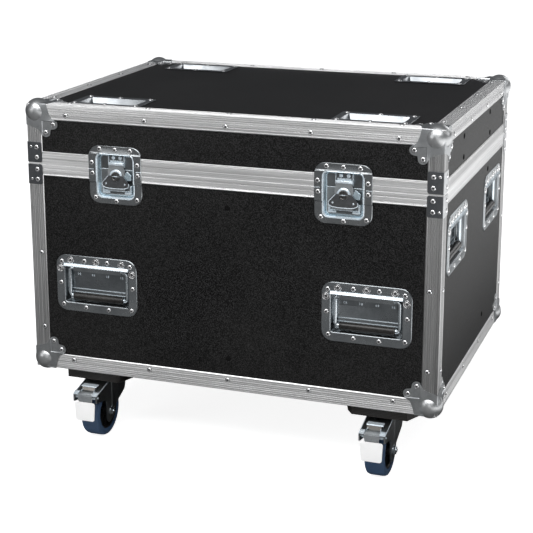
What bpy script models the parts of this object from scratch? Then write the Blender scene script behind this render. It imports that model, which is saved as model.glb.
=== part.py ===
"""Lighting flight case: plywood box in aluminium edge profiles, hinged lid, twist latches,
recessed spring handles, stacking dishes and four swivel castors.

Metres, +Z up, the front faces -Y, the castors stand on z = 0.
"""
import math

import bmesh
import bpy
from mathutils import Matrix, Vector

# The case as a whole
CASE_WIDTH = 0.800
CASE_DEPTH = 0.600
BOX_HEIGHT = 0.522
LID_HEIGHT = 0.1157
GAP = 0.0003
OVERRUN = 0.004

# Plywood
PANEL_THICKNESS = 0.009

# Aluminium edge profile
PROFILE_LEG = 0.030
PROFILE_WALL = 0.0018
INNER_LEG = 0.022
INNER_WALL = 0.0015

# Aluminium closing profiles, where base and lid meet
BASE_BAND = 0.0212
LID_BAND = 0.0247
BAND_INNER_LEG = 0.016
BAND_WEB = 0.004
TONGUE_HEIGHT = 0.0035
TONGUE_WIDTH = 0.003
TONGUE_TAPER = 0.0006
GROOVE_CLEARANCE = 0.0006

# Ball corners
SHEET = 0.0012
BALL_RADIUS = 0.024
BALL_INSET = 0.016
LEAF_RIVET_FAR = 0.054
LEAF_RIVET_NEAR = 0.0385
LEAF_LOBE_RADIUS = 0.009
LEAF_FOLD_LENGTH = 0.041
BALL_SEGMENTS = 12
BALL_RINGS = 8

# Corner braces beside the band
BRACE_WIDTH = 0.029
BRACE_HEIGHT = 0.0388
BRACE_SPLIT = 0.0034
BRACE_SHEET = 0.0013

# Rivets
RIVET_RADIUS = 0.0042
RIVET_CROWN_RADIUS = 0.0026
RIVET_HEIGHT = 0.0012
RIVET_SINK = 0.0004
RIVET_SIDES = 6
RIVET_FROM_EDGE = 0.020
RIVET_END_LONG = 0.081
RIVET_END_SHORT = 0.075
RIVETS_LONG = 5
RIVETS_SHORT = 4
POST_RIVET_FIRST = 0.083
POST_RIVET_PITCH = 0.149

# Twist latches
LATCH_FROM_EDGE = 0.1797
LATCH_WIDTH = 0.107
LATCH_UP = 0.0443
LATCH_DOWN = 0.0663
LATCH_CORNER = 0.020
LATCH_POCKET_WIDTH = 0.0776
LATCH_POCKET_UP = 0.0300
LATCH_POCKET_DOWN = 0.0525
LATCH_POCKET_DEPTH = 0.011
LATCH_POCKET_CORNER = 0.008
HUB_DROP = 0.013
HUB_RADIUS = 0.0105
HUB_SINK = 0.0015
HUB_KEY_RADIUS = 0.0055
HUB_KEY_DEPTH = 0.004
WING_HALF_WIDTH = 0.0265
WING_DROP = 0.0205
WING_RISE = 0.002
WING_SHEET = 0.0015
WING_SINK = 0.0028
WING_EAR_RADIUS = 0.0022
WING_EAR_WIDTH = 0.004
WING_PIN_RADIUS = 0.0011
WING_HOLE_RADIUS = 0.0022
WING_TIP_SHARE = 0.62
WING_FOOT_SHARE = 0.86
WING_HOLE_ALONG_SHARE = 0.66
WING_HOLE_DOWN_SHARE = 0.60
HOOK_HALF_WIDTH = 0.0170
HOOK_NOSE_HALF_WIDTH = 0.0150
HOOK_SINK = 0.0062
HOOK_TRAVEL = 0.010
HOOK_TOP = 0.0140
KEEPER_HALF_WIDTH = 0.012
KEEPER_TOP = 0.027
KEEPER_LEDGE_TOP = 0.0125
LEDGE_SHEET = 0.002
KEEPER_RIVET_HEIGHT = 0.0215
KEEPER_RIVET_SPREAD = 0.0060

# Recessed spring handles
HANDLE_FROM_EDGE = 0.134
HANDLE_RIM = 0.018
HANDLE_CORNER = 0.021
HANDLE_FRONT_BELOW_BAND = 0.2081
HANDLE_SIDE_BELOW_BAND = 0.0861
HANDLE_POCKET_WIDTH = 0.132
HANDLE_POCKET_HEIGHT = 0.076
HANDLE_POCKET_DEPTH = 0.020
HANDLE_POCKET_CORNER = 0.004
HANDLE_LIP_HEIGHT = 0.006
HANDLE_LIP_PROUD = 0.003
BAIL_ROD_RADIUS = 0.0036
BAIL_AXIS_DROP = 0.0100
BAIL_SIDE_ROOM = 0.0060
BAIL_CORNER = 0.007
BAIL_FLOOR_ROOM = 0.0102
GRIP_RADIUS = 0.0085
GRIP_END_ROOM = 0.008
CLIP_SIDE_ROOM = 0.025
CLIP_WIDTH = 0.020
CLIP_WALL = 0.0022

# Castor boards and castors
CASTOR_FROM_SIDE = 0.113
CASTOR_FROM_FRONT = 0.081
BOARD_WIDTH = 0.134
BOARD_DEPTH = 0.126
BOARD_THICKNESS = 0.015
BOARD_BEVEL = 0.009
WHEEL_RADIUS = 0.050
WHEEL_HALF_WIDTH = 0.019
HUB_HALF_WIDTH = 0.0215
RIM_RADIUS = 0.0365
RIM_HALF_WIDTH = 0.0165
RIM_DISC_HALF_WIDTH = 0.006
RIM_LIP = 0.004
HUB_OUTER_RADIUS = 0.0105
TYRE_SHOULDER = 0.004
WHEEL_SIDES = 18
CASTOR_HEAD_ROOM = 0.028
TRAIL = 0.038
AXLE_RADIUS = 0.005
AXLE_NUT_RADIUS = 0.008
AXLE_NUT_THICKNESS = 0.005
PLATE_LENGTH = 0.105
PLATE_WIDTH = 0.085
PLATE_THICKNESS = 0.003
RACE_RADIUS = 0.032
RACE_HEIGHT = 0.007
HEAD_RADIUS = 0.031
HEAD_HEIGHT = 0.009
BOLT_SPREAD_LONG = 0.040
BOLT_SPREAD_SHORT = 0.030
BOLT_HEAD_RADIUS = 0.0075
BOLT_HEAD_HEIGHT = 0.0055
FORK_SHEET = 0.0030
FORK_BACK = 0.029
FORK_BACK_LOW = 0.073
FORK_FALL = 0.0100
LEG_BACK = 0.022
LEG_FRONT = 0.067
LEG_LOW = 0.041
LEG_BACK_LOW = 0.047
LEG_SHOULDER = 0.004
EAR_FRONT = 0.103
EAR_LOW = 0.092
APRON_FRONT = 0.091
PEDAL_AXIS_FORWARD = 0.098
PEDAL_AXIS_HEIGHT = 0.0975
PEDAL_PIN_RADIUS = 0.0020
PEDAL_BARREL_RADIUS = 0.0042
PEDAL_HALF_WIDTH = 0.020
PEDAL_ARM_HALF_WIDTH = 0.0150
PEDAL_TOP = 0.089
PEDAL_BOTTOM = 0.051
PEDAL_FACE_FORWARD = 0.1062
PEDAL_THICKNESS = 0.0045

# Stacking dishes in the lid
DISH_FROM_SIDE = 0.1435
DISH_FROM_FRONT = 0.0745
DISH_LENGTH = 0.144
DISH_WIDTH = 0.086
DISH_CORNER = 0.004
PAN_LENGTH = 0.116
PAN_WIDTH = 0.058
PAN_DEPTH = 0.018
PAN_SLOPE = 0.006
DISH_RIVET_SPREAD_LONG = 0.0625
DISH_RIVET_SPREAD_SHORT = 0.0345

# Lid hinges
HINGE_FROM_SIDE = 0.200
HINGE_WIDTH = 0.076
HINGE_LEAF_HEIGHT = 0.0185
HINGE_SHEET = 0.0015
HINGE_AXIS_OUT = 0.0055
KNUCKLE_RADIUS = 0.0045
HINGE_PIN_RADIUS = 0.0022
KNUCKLES = 5
HINGE_WEB = 0.0060

# How the sizes add up
CASTOR_HEIGHT = 2 * WHEEL_RADIUS + CASTOR_HEAD_ROOM
HALF_WIDTH = CASE_WIDTH / 2
HALF_DEPTH = CASE_DEPTH / 2
BOX_BOTTOM = CASTOR_HEIGHT + BOARD_THICKNESS
BOX_TOP = BOX_BOTTOM + BOX_HEIGHT
PARTING = BOX_TOP - LID_HEIGHT
PANEL_FACE = PROFILE_WALL + GAP
PANEL_BACK = PANEL_FACE + PANEL_THICKNESS
SLOT_BACK = PANEL_BACK + GAP
WEB_DEPTH = SLOT_BACK + INNER_WALL
PANEL_EDGE = WEB_DEPTH + GAP
BALL_PROUD = BALL_RADIUS - BALL_INSET
HINGE_Y = HALF_DEPTH + HINGE_AXIS_OUT
CASTOR_X = HALF_WIDTH - CASTOR_FROM_SIDE
CASTOR_Y = HALF_DEPTH - CASTOR_FROM_FRONT
FRONT_REACH = PEDAL_FACE_FORWARD - CASTOR_FROM_FRONT
BACK_REACH = HINGE_AXIS_OUT + KNUCKLE_RADIUS
CASE_SHIFT = (FRONT_REACH - BACK_REACH) / 2
HANDLE_WIDTH = HANDLE_POCKET_WIDTH + 2 * HANDLE_RIM
HANDLE_HEIGHT = HANDLE_POCKET_HEIGHT + 2 * HANDLE_RIM
BAIL_HALF_WIDTH = HANDLE_POCKET_WIDTH / 2 - BAIL_SIDE_ROOM
BAIL_DROP = HANDLE_POCKET_HEIGHT - 2 * BAIL_AXIS_DROP
BAIL_SINK = HANDLE_POCKET_DEPTH - BAIL_FLOOR_ROOM
GRIP_LENGTH = 2 * (BAIL_HALF_WIDTH - GRIP_END_ROOM)
CLIP_SPREAD = BAIL_HALF_WIDTH - CLIP_SIDE_ROOM

MATERIALS = {}
PARENTS = {}


def material(name, colour, roughness, metallic):
    """A plain Principled material, made once for each finish."""
    if name not in MATERIALS:
        made = bpy.data.materials.new(name)
        made.use_nodes = True
        shader = made.node_tree.nodes["Principled BSDF"]
        shader.inputs["Base Color"].default_value = (*colour, 1)
        shader.inputs["Roughness"].default_value = roughness
        shader.inputs["Metallic"].default_value = metallic
        MATERIALS[name] = made
    return MATERIALS[name]


def laminate():
    return material("black_laminate", (0.012, 0.012, 0.013), 0.45, 0.0)


def aluminium():
    return material("satin_aluminium", (0.62, 0.63, 0.64), 0.35, 1.0)


def zinc():
    return material("zinc_plated_steel", (0.45, 0.49, 0.53), 0.30, 1.0)


def satin_steel():
    return material("satin_steel", (0.55, 0.56, 0.56), 0.32, 1.0)


def dark_steel():
    return material("dark_steel", (0.10, 0.105, 0.11), 0.40, 0.9)


def plywood():
    return material("black_plywood", (0.02, 0.018, 0.017), 0.60, 0.0)


def blue_rubber():
    return material("blue_rubber", (0.03, 0.08, 0.18), 0.55, 0.0)


def white_plastic():
    return material("white_plastic", (0.85, 0.85, 0.84), 0.40, 0.0)


def finish(name, mesh, finish_material, origin=None, group="case"):
    """Put a mesh, made in the case's frame, on an object whose origin is given."""
    parent = PARENTS[group]
    parent_place = Vector((0, HINGE_Y, PARTING)) if group == "lid" else Vector((0, 0, 0))
    spot = parent_place if origin is None else Vector(origin)
    mesh.transform(Matrix.Translation(-spot))
    mesh.materials.clear()
    mesh.materials.append(finish_material)
    mesh.shade_smooth()
    mesh.set_sharp_from_angle(angle=math.radians(30))
    made = bpy.data.objects.new(name, mesh)
    bpy.context.scene.collection.objects.link(made)
    made.parent = parent
    made.location = spot - parent_place
    return made


def mesh_from(bm):
    """Turn an edit mesh into a mesh with its faces pointing out."""
    bmesh.ops.recalc_face_normals(bm, faces=bm.faces)
    made = bpy.data.meshes.new("shape")
    bm.to_mesh(made)
    bm.free()
    return made


def prism(outline, place, low, high):
    """Extrude an outline; place(u, v, w) gives each corner's position."""
    bm = bmesh.new()
    rings = []
    for w in (low, high):
        rings.append([bm.verts.new(place(u, v, w)) for u, v in outline])
    bm.faces.new(rings[0])
    bm.faces.new(list(reversed(rings[1])))
    count = len(outline)
    for i in range(count):
        j = (i + 1) % count
        bm.faces.new((rings[0][i], rings[0][j], rings[1][j], rings[1][i]))
    return mesh_from(bm)


def stepped(rings, place):
    """A closed block whose rectangle changes in steps; each ring is (u0, u1, v0, v1, w)."""
    bm = bmesh.new()
    loops = []
    for u0, u1, v0, v1, w in rings:
        corners = ((u0, v0), (u1, v0), (u1, v1), (u0, v1))
        loops.append([bm.verts.new(place(u, v, w)) for u, v in corners])
    for here, there in zip(loops, loops[1:]):
        for i in range(4):
            j = (i + 1) % 4
            bm.faces.new((here[i], here[j], there[j], there[i]))
    bm.faces.new(loops[0])
    bm.faces.new(loops[-1])
    return mesh_from(bm)


def rim_ring(section):
    """A mitred frame that follows the box's outline; section points are (depth from face, z)."""
    bm = bmesh.new()
    loops = []
    for depth, z in section:
        x = HALF_WIDTH - depth
        y = HALF_DEPTH - depth
        loops.append([bm.verts.new(spot) for spot in ((-x, -y, z), (x, -y, z), (x, y, z), (-x, y, z))])
    count = len(loops)
    for i in range(count):
        here = loops[i]
        there = loops[(i + 1) % count]
        for k in range(4):
            m = (k + 1) % 4
            bm.faces.new((here[k], here[m], there[m], there[k]))
    return mesh_from(bm)


def on_front(u, v, w):
    """u to the right, v up, w outwards from the front."""
    return Vector((u, -w, v))


def on_top(u, v, w):
    return Vector((u, v, w))


def on_side(u, v, w):
    """u along +Y, v up, w towards +X."""
    return Vector((w, u, v))


def box(x0, x1, y0, y1, z0, z1):
    """A closed block between two corners."""
    outline = ((x0, y0), (x1, y0), (x1, y1), (x0, y1))
    return prism(outline, on_top, z0, z1)


def block_on_front(u0, u1, v0, v1, w0, w1):
    outline = ((u0, v0), (u1, v0), (u1, v1), (u0, v1))
    return prism(outline, on_front, w0, w1)


def arc(cx, cy, radius, start, stop, steps):
    """Points on an arc, angles in degrees."""
    points = []
    for i in range(steps + 1):
        angle = math.radians(start + (stop - start) * i / steps)
        points.append((cx + radius * math.cos(angle), cy + radius * math.sin(angle)))
    return points


def rounded(u0, u1, v0, v1, radii, steps=3):
    """A rectangle with its own radius at each corner: low-left, low-right, top-right, top-left."""
    corners = ((u0, v0, 1, 1, 180), (u1, v0, -1, 1, 270), (u1, v1, -1, -1, 0), (u0, v1, 1, -1, 90))
    points = []
    for (u, v, su, sv, start), radius in zip(corners, radii):
        if radius:
            points += arc(u + su * radius, v + sv * radius, radius, start, start + 90, steps)
        else:
            points.append((u, v))
    return points


def polygon(radius, sides, turn_share=0.5):
    """A regular outline round zero, with a flat side down; turn_share turns it by part of a side."""
    points = []
    for i in range(sides):
        angle = 2 * math.pi * (i + turn_share) / sides - math.pi / 2
        points.append((radius * math.cos(angle), radius * math.sin(angle)))
    return points


def rod_along_x(radius, x0, x1, y, z, sides=12):
    outline = [(y + u, z + v) for u, v in polygon(radius, sides)]
    return prism(outline, on_side, x0, x1)


def moved(mesh, matrix):
    """A copy of a mesh in another place; a mirrored copy keeps its faces pointing out."""
    made = mesh.copy()
    made.transform(matrix)
    if matrix.determinant() < 0:
        made.flip_normals()
    return made


def gathered(meshes):
    """Several separate solids in one mesh."""
    bm = bmesh.new()
    for mesh in meshes:
        bm.from_mesh(mesh)
    made = bpy.data.meshes.new("group")
    bm.to_mesh(made)
    bm.free()
    return made


def boolean(mesh, tools, operation):
    """Cut, join or intersect a mesh with each tool in turn."""
    body = bpy.data.objects.new("body", mesh)
    bpy.context.scene.collection.objects.link(body)
    helpers = []
    for tool in tools:
        helper = bpy.data.objects.new("tool", tool)
        bpy.context.scene.collection.objects.link(helper)
        helper.hide_render = True
        helper.display_type = "WIRE"
        modifier = body.modifiers.new("cut", "BOOLEAN")
        modifier.operation = operation
        modifier.solver = "EXACT"
        modifier.object = helper
        helpers.append(helper)
    bpy.context.view_layer.update()
    shaped = body.evaluated_get(bpy.context.evaluated_depsgraph_get())
    made = bpy.data.meshes.new_from_object(shaped)
    for helper in helpers + [body]:
        bpy.data.objects.remove(helper)
    return made


def cut(mesh, *tools):
    return boolean(mesh, tools, "DIFFERENCE")


def join(mesh, *tools):
    return boolean(mesh, tools, "UNION")


def common(mesh, *tools):
    return boolean(mesh, tools, "INTERSECT")


def turned(profile, sides, turn_share=0.5):
    """Revolve a closed (radius, x) profile round the X axis; each ring is a regular polygon."""
    bm = bmesh.new()
    rings = []
    for radius, x in profile:
        ring = polygon(radius / math.cos(math.pi / sides), sides, turn_share)
        rings.append([bm.verts.new((x, u, v)) for u, v in ring])
    count = len(rings)
    for i in range(count):
        here = rings[i]
        there = rings[(i + 1) % count]
        for k in range(sides):
            m = (k + 1) % sides
            bm.faces.new((here[k], here[m], there[m], there[k]))
    return mesh_from(bm)


def spaced(first, last, count):
    return [first + (last - first) * i / (count - 1) for i in range(count)]


def face_matrix(turn, distance, along, height):
    """Place a fitting drawn for the front, face at y = 0, on one of the box's faces."""
    turned_face = Matrix.Rotation(math.radians(turn), 4, "Z")
    return turned_face @ Matrix.Translation((along, -distance, height))


def latch_places():
    spread = HALF_WIDTH - LATCH_FROM_EDGE
    return (("left", -spread), ("right", spread))


def handle_places():
    """Name, face turn in degrees, distance of the face, place along the face and height."""
    front_spread = HALF_WIDTH - HANDLE_FROM_EDGE
    side_spread = HALF_DEPTH - HANDLE_FROM_EDGE
    band_low = PARTING - BASE_BAND
    front_height = band_low - HANDLE_FRONT_BELOW_BAND
    side_height = band_low - HANDLE_SIDE_BELOW_BAND
    return (
        ("front_left", 0, HALF_DEPTH, -front_spread, front_height),
        ("front_right", 0, HALF_DEPTH, front_spread, front_height),
        ("right_front", 90, HALF_WIDTH, -side_spread, side_height),
        ("right_rear", 90, HALF_WIDTH, side_spread, side_height),
        ("left_rear", -90, HALF_WIDTH, -side_spread, side_height),
        ("left_front", -90, HALF_WIDTH, side_spread, side_height),
    )


def latch_depths():
    """Distances outwards from the box's face: flange face, pocket floor."""
    face = GAP + SHEET
    return face, face - LATCH_POCKET_DEPTH


def wall_windows(low, high):
    """Cutters for the four walls: outer window, slot for the panel and inner window in one.

    low and high give the heights of the outer, slot and inner edges of the opening.
    """
    made = []
    insets = (PROFILE_LEG, WEB_DEPTH, INNER_LEG)
    depths = (OVERRUN, -PROFILE_WALL, -SLOT_BACK, -WEB_DEPTH - OVERRUN)
    for turn, distance, half in ((0, HALF_DEPTH, HALF_WIDTH), (180, HALF_DEPTH, HALF_WIDTH),
                                 (90, HALF_WIDTH, HALF_DEPTH), (-90, HALF_WIDTH, HALF_DEPTH)):
        rings = []
        for i, inset in enumerate(insets):
            rings.append((inset - half, half - inset, low[i], high[i], depths[i]))
            rings.append((inset - half, half - inset, low[i], high[i], depths[i + 1]))
        made.append(moved(stepped(rings, on_front), face_matrix(turn, distance, 0, 0)))
    return made


def deck_window(level, up):
    """The same cutter for the floor or the top."""
    rings = []
    insets = (PROFILE_LEG, WEB_DEPTH, INNER_LEG)
    depths = (-OVERRUN, PROFILE_WALL, SLOT_BACK, WEB_DEPTH + OVERRUN)
    for i, inset in enumerate(insets):
        x = HALF_WIDTH - inset
        y = HALF_DEPTH - inset
        rings.append((-x, x, -y, y, level - up * depths[i]))
        rings.append((-x, x, -y, y, level - up * depths[i + 1]))
    return stepped(rings, on_top)


def latch_room(low, high):
    """Room in the closing profiles for the latch pockets; the inner leg runs on behind them."""
    half = LATCH_POCKET_WIDTH / 2 + SHEET + GAP
    face, floor = latch_depths()
    back = -HALF_DEPTH - floor + SHEET + GAP
    return [box(x - half, x + half, -HALF_DEPTH - OVERRUN, back, low, high) for side, x in latch_places()]


def braces(low):
    """Four bent plates riveted over the joints of posts and closing profile."""
    made = []
    skin = -BRACE_SHEET
    sunk = PROFILE_WALL / 2
    outline = ((skin, skin), (BRACE_WIDTH, skin), (BRACE_WIDTH, sunk), (sunk, sunk),
               (sunk, BRACE_WIDTH), (skin, BRACE_WIDTH))
    plate = prism(outline, on_top, low, low + BRACE_HEIGHT)
    for sx in (-1, 1):
        for sy in (-1, 1):
            flip = Matrix.Diagonal((-sx, -sy, 1, 1))
            place = Matrix.Translation((sx * HALF_WIDTH, sy * HALF_DEPTH, 0))
            made.append(moved(plate, place @ flip))
    return made


def hinge_places():
    spread = HALF_WIDTH - HINGE_FROM_SIDE
    return [face_matrix(180, HALF_DEPTH, side * spread, PARTING) for side in (-1, 1)]


def hinge_leaf(up):
    """One hinge leaf with its knuckles, drawn for a face at zero; up is 1 on the lid, -1 below."""
    half = HINGE_WIDTH / 2
    pitch = HINGE_WIDTH / KNUCKLES
    sunk = -PROFILE_WALL / 2
    low, high = sorted((up * HINGE_WEB, up * HINGE_LEAF_HEIGHT))
    parts = [block_on_front(-half, half, low, high, sunk, HINGE_SHEET)]
    low, high = sorted((up * GAP, up * (HINGE_WEB + HINGE_SHEET)))
    for i in range(KNUCKLES):
        if (i % 2 == 0) == (up < 0):
            start = -half + i * pitch + GAP / 2
            stop = start + pitch - GAP
            reach = HINGE_AXIS_OUT - KNUCKLE_RADIUS / 2
            web = block_on_front(start, stop, low, high, sunk, reach)
            parts.append(join(web, rod_along_x(KNUCKLE_RADIUS, start, stop, -HINGE_AXIS_OUT, 0)))
    return parts


def hinge_pin(radius, reach):
    return rod_along_x(radius, -reach, reach, -HINGE_AXIS_OUT, 0)


def rivet_head(position, normal):
    """A pop rivet's low head, its foot sunk in the sheet that it holds."""
    outline = []
    for radius, z in ((RIVET_RADIUS, -RIVET_SINK), (RIVET_CROWN_RADIUS, RIVET_HEIGHT)):
        outline.append((radius, z))
    bm = bmesh.new()
    rings = [[bm.verts.new((u, v, z)) for u, v in polygon(radius, RIVET_SIDES)] for radius, z in outline]
    for i in range(RIVET_SIDES):
        j = (i + 1) % RIVET_SIDES
        bm.faces.new((rings[0][i], rings[0][j], rings[1][j], rings[1][i]))
    bm.faces.new(rings[0])
    bm.faces.new(rings[1])
    turn = Vector((0, 0, 1)).rotation_difference(Vector(normal)).to_matrix().to_4x4()
    head = mesh_from(bm)
    head.transform(Matrix.Translation(position) @ turn)
    return head


def riveted(mesh, places):
    """A body with pop rivet heads joined to it at (position, outward direction) pairs."""
    return join(mesh, gathered([rivet_head(spot, normal) for spot, normal in places]))


def rail_rivets(z):
    """Rivets along the four horizontal profiles, on the upright faces."""
    places = []
    for x in spaced(RIVET_END_LONG - HALF_WIDTH, HALF_WIDTH - RIVET_END_LONG, RIVETS_LONG):
        places += [((x, sy * HALF_DEPTH, z), (0, sy, 0)) for sy in (-1, 1)]
    for y in spaced(RIVET_END_SHORT - HALF_DEPTH, HALF_DEPTH - RIVET_END_SHORT, RIVETS_SHORT):
        places += [((sx * HALF_WIDTH, y, z), (sx, 0, 0)) for sx in (-1, 1)]
    return places


def top_rivets():
    """Rivets along the four top profiles, on the top face."""
    places = []
    for x in spaced(RIVET_END_LONG - HALF_WIDTH, HALF_WIDTH - RIVET_END_LONG, RIVETS_LONG):
        places += [((x, sy * (HALF_DEPTH - RIVET_FROM_EDGE), BOX_TOP), (0, 0, 1)) for sy in (-1, 1)]
    for y in spaced(RIVET_END_SHORT - HALF_DEPTH, HALF_DEPTH - RIVET_END_SHORT, RIVETS_SHORT):
        places += [((sx * (HALF_WIDTH - RIVET_FROM_EDGE), y, BOX_TOP), (0, 0, 1)) for sx in (-1, 1)]
    return places


def post_rivets(heights, lift):
    """Rivets on both faces of each post, at the given heights and height above the profile."""
    places = []
    for z in heights:
        for sx in (-1, 1):
            for sy in (-1, 1):
                x = sx * (HALF_WIDTH - RIVET_FROM_EDGE)
                y = sy * (HALF_DEPTH - RIVET_FROM_EDGE)
                places.append(((x, sy * (HALF_DEPTH + lift), z), (0, sy, 0)))
                places.append(((sx * (HALF_WIDTH + lift), y, z), (sx, 0, 0)))
    return places


def brace_heights(low):
    return (low + BRACE_HEIGHT / 4, low + BRACE_HEIGHT * 3 / 4)


def base_frame():
    """The base's aluminium frame: bottom profiles, posts, closing profile, braces and hinge leaves."""
    top = PARTING - GAP / 2
    solid = box(-HALF_WIDTH, HALF_WIDTH, -HALF_DEPTH, HALF_DEPTH, BOX_BOTTOM, top)
    x = HALF_WIDTH - WEB_DEPTH
    y = HALF_DEPTH - WEB_DEPTH
    hollow = box(-x, x, -y, y, BOX_BOTTOM + WEB_DEPTH, PARTING + OVERRUN)
    low = (BOX_BOTTOM + PROFILE_LEG, BOX_BOTTOM + WEB_DEPTH, BOX_BOTTOM + INNER_LEG)
    high = (PARTING - BASE_BAND, PARTING - BAND_WEB, PARTING - BAND_INNER_LEG)
    frame = cut(solid, hollow, deck_window(BOX_BOTTOM, -1), *wall_windows(low, high))
    near, far = tongue_depths()
    tongue = rim_ring(((near, -BAND_WEB / 2 + PARTING), (near + TONGUE_TAPER, TONGUE_HEIGHT + PARTING),
                       (far - TONGUE_TAPER, TONGUE_HEIGHT + PARTING), (far, -BAND_WEB / 2 + PARTING)))
    brace_low = PARTING - GAP - BRACE_HEIGHT
    leaves = []
    for place in hinge_places():
        leaves += [moved(part, place) for part in hinge_leaf(-1)]
        leaves.append(moved(hinge_pin(HINGE_PIN_RADIUS, HINGE_WIDTH / 2), place))
    frame = join(frame, tongue, *braces(brace_low), *leaves)
    room = latch_room(PARTING - LATCH_POCKET_DOWN, PARTING + TONGUE_HEIGHT + OVERRUN)
    frame = cut(frame, *room)
    places = rail_rivets(BOX_BOTTOM + RIVET_FROM_EDGE)
    post_rivet = BOX_BOTTOM + POST_RIVET_FIRST
    places += post_rivets((post_rivet, post_rivet + POST_RIVET_PITCH), 0)
    places += post_rivets(brace_heights(brace_low), BRACE_SHEET)
    finish("base_frame", riveted(frame, places), aluminium())


def lid_frame():
    """The lid's aluminium frame: top profiles, posts, closing profile, braces and hinge leaves."""
    low_face = PARTING + GAP / 2
    solid = box(-HALF_WIDTH, HALF_WIDTH, -HALF_DEPTH, HALF_DEPTH, low_face, BOX_TOP)
    x = HALF_WIDTH - WEB_DEPTH
    y = HALF_DEPTH - WEB_DEPTH
    hollow = box(-x, x, -y, y, PARTING - OVERRUN, BOX_TOP - WEB_DEPTH)
    low = (PARTING + LID_BAND, PARTING + lid_web(), PARTING + BAND_INNER_LEG)
    high = (BOX_TOP - PROFILE_LEG, BOX_TOP - WEB_DEPTH, BOX_TOP - INNER_LEG)
    near, far = tongue_depths()
    near -= GROOVE_CLEARANCE
    far += GROOVE_CLEARANCE
    groove_top = PARTING + groove_height()
    groove = rim_ring(((near, PARTING - OVERRUN), (near, groove_top), (far, groove_top),
                       (far, PARTING - OVERRUN)))
    frame = cut(solid, hollow, deck_window(BOX_TOP, 1), groove, *wall_windows(low, high))
    brace_low = PARTING + BRACE_SPLIT
    leaves = []
    bores = []
    for place in hinge_places():
        leaves += [moved(part, place) for part in hinge_leaf(1)]
        bores.append(moved(hinge_pin(HINGE_PIN_RADIUS + GAP, HINGE_WIDTH / 2 + OVERRUN), place))
    frame = join(frame, *braces(brace_low), *leaves)
    frame = cut(frame, *latch_room(PARTING - OVERRUN, PARTING + LATCH_POCKET_UP), *bores)
    places = rail_rivets(BOX_TOP - RIVET_FROM_EDGE) + top_rivets()
    places += post_rivets(brace_heights(brace_low), BRACE_SHEET)
    finish("lid_frame", riveted(frame, places), aluminium(), group="lid")


def tongue_depths():
    """The tongue's near and far sides, as depths from the box's face."""
    middle = SLOT_BACK / 2
    return middle - TONGUE_WIDTH / 2, middle + TONGUE_WIDTH / 2


def groove_height():
    return TONGUE_HEIGHT + 2 * GROOVE_CLEARANCE


def lid_web():
    return groove_height() + BAND_WEB


def handle_cutter():
    room = SHEET + GAP
    half_width = HANDLE_POCKET_WIDTH / 2 + room
    half_height = HANDLE_POCKET_HEIGHT / 2 + room
    return block_on_front(-half_width, half_width, -half_height, half_height, -PANEL_BACK - OVERRUN, OVERRUN)


def handle_cutters(turn):
    return [moved(handle_cutter(), face_matrix(t, d, a, h)) for n, t, d, a, h in handle_places() if t == turn]


def latch_cutters(low, high):
    """Room for the latch pockets in the front panels."""
    half = LATCH_POCKET_WIDTH / 2 + SHEET + GAP
    face = -HALF_DEPTH
    return [box(x - half, x + half, face - OVERRUN, face + PANEL_BACK + OVERRUN, low, high)
            for side, x in latch_places()]


def base_panels():
    """Floor and four walls of the base, their edges in the profiles' slots."""
    base_top = PARTING - BAND_WEB - GAP
    bottom = BOX_BOTTOM + PANEL_EDGE
    wide = HALF_WIDTH - PANEL_EDGE
    deep = HALF_DEPTH - PANEL_EDGE
    floor = box(-wide, wide, -deep, deep, BOX_BOTTOM + PANEL_FACE, BOX_BOTTOM + PANEL_BACK)
    finish("floor_panel", floor, laminate())
    near = HALF_DEPTH - PANEL_FACE
    far = HALF_DEPTH - PANEL_BACK
    front = box(-wide, wide, -near, -far, bottom, base_top)
    room = latch_cutters(PARTING - LATCH_POCKET_DOWN - SHEET - GAP, PARTING)
    finish("base_front_panel", cut(front, *room, *handle_cutters(0)), laminate())
    finish("base_back_panel", box(-wide, wide, far, near, bottom, base_top), laminate())
    near = HALF_WIDTH - PANEL_FACE
    far = HALF_WIDTH - PANEL_BACK
    left = box(-near, -far, -deep, deep, bottom, base_top)
    finish("base_left_panel", cut(left, *handle_cutters(-90)), laminate())
    right = box(far, near, -deep, deep, bottom, base_top)
    finish("base_right_panel", cut(right, *handle_cutters(90)), laminate())


def lid_panels():
    """Top and four walls of the lid."""
    low = PARTING + lid_web() + GAP
    top = BOX_TOP - PANEL_EDGE
    wide = HALF_WIDTH - PANEL_EDGE
    deep = HALF_DEPTH - PANEL_EDGE
    roof = box(-wide, wide, -deep, deep, BOX_TOP - PANEL_BACK, BOX_TOP - PANEL_FACE)
    room_long = PAN_LENGTH / 2 + SHEET + GAP
    room_short = PAN_WIDTH / 2 + SHEET + GAP
    holes = [box(x - room_long, x + room_long, y - room_short, y + room_short,
                 BOX_TOP - PANEL_BACK - OVERRUN, BOX_TOP) for x, y in dish_places()]
    finish("lid_top_panel", cut(roof, *holes), laminate(), group="lid")
    near = HALF_DEPTH - PANEL_FACE
    far = HALF_DEPTH - PANEL_BACK
    room = latch_cutters(PARTING, PARTING + LATCH_POCKET_UP + SHEET + GAP)
    finish("lid_front_panel", cut(box(-wide, wide, -near, -far, low, top), *room), laminate(), group="lid")
    finish("lid_back_panel", box(-wide, wide, far, near, low, top), laminate(), group="lid")
    near = HALF_WIDTH - PANEL_FACE
    far = HALF_WIDTH - PANEL_BACK
    finish("lid_left_panel", box(-near, -far, -deep, deep, low, top), laminate(), group="lid")
    finish("lid_right_panel", box(far, near, -deep, deep, low, top), laminate(), group="lid")


def dish_places():
    x = HALF_WIDTH - DISH_FROM_SIDE
    y = HALF_DEPTH - DISH_FROM_FRONT
    return [(sx * x, sy * y) for sx in (-1, 1) for sy in (-1, 1)]


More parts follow.
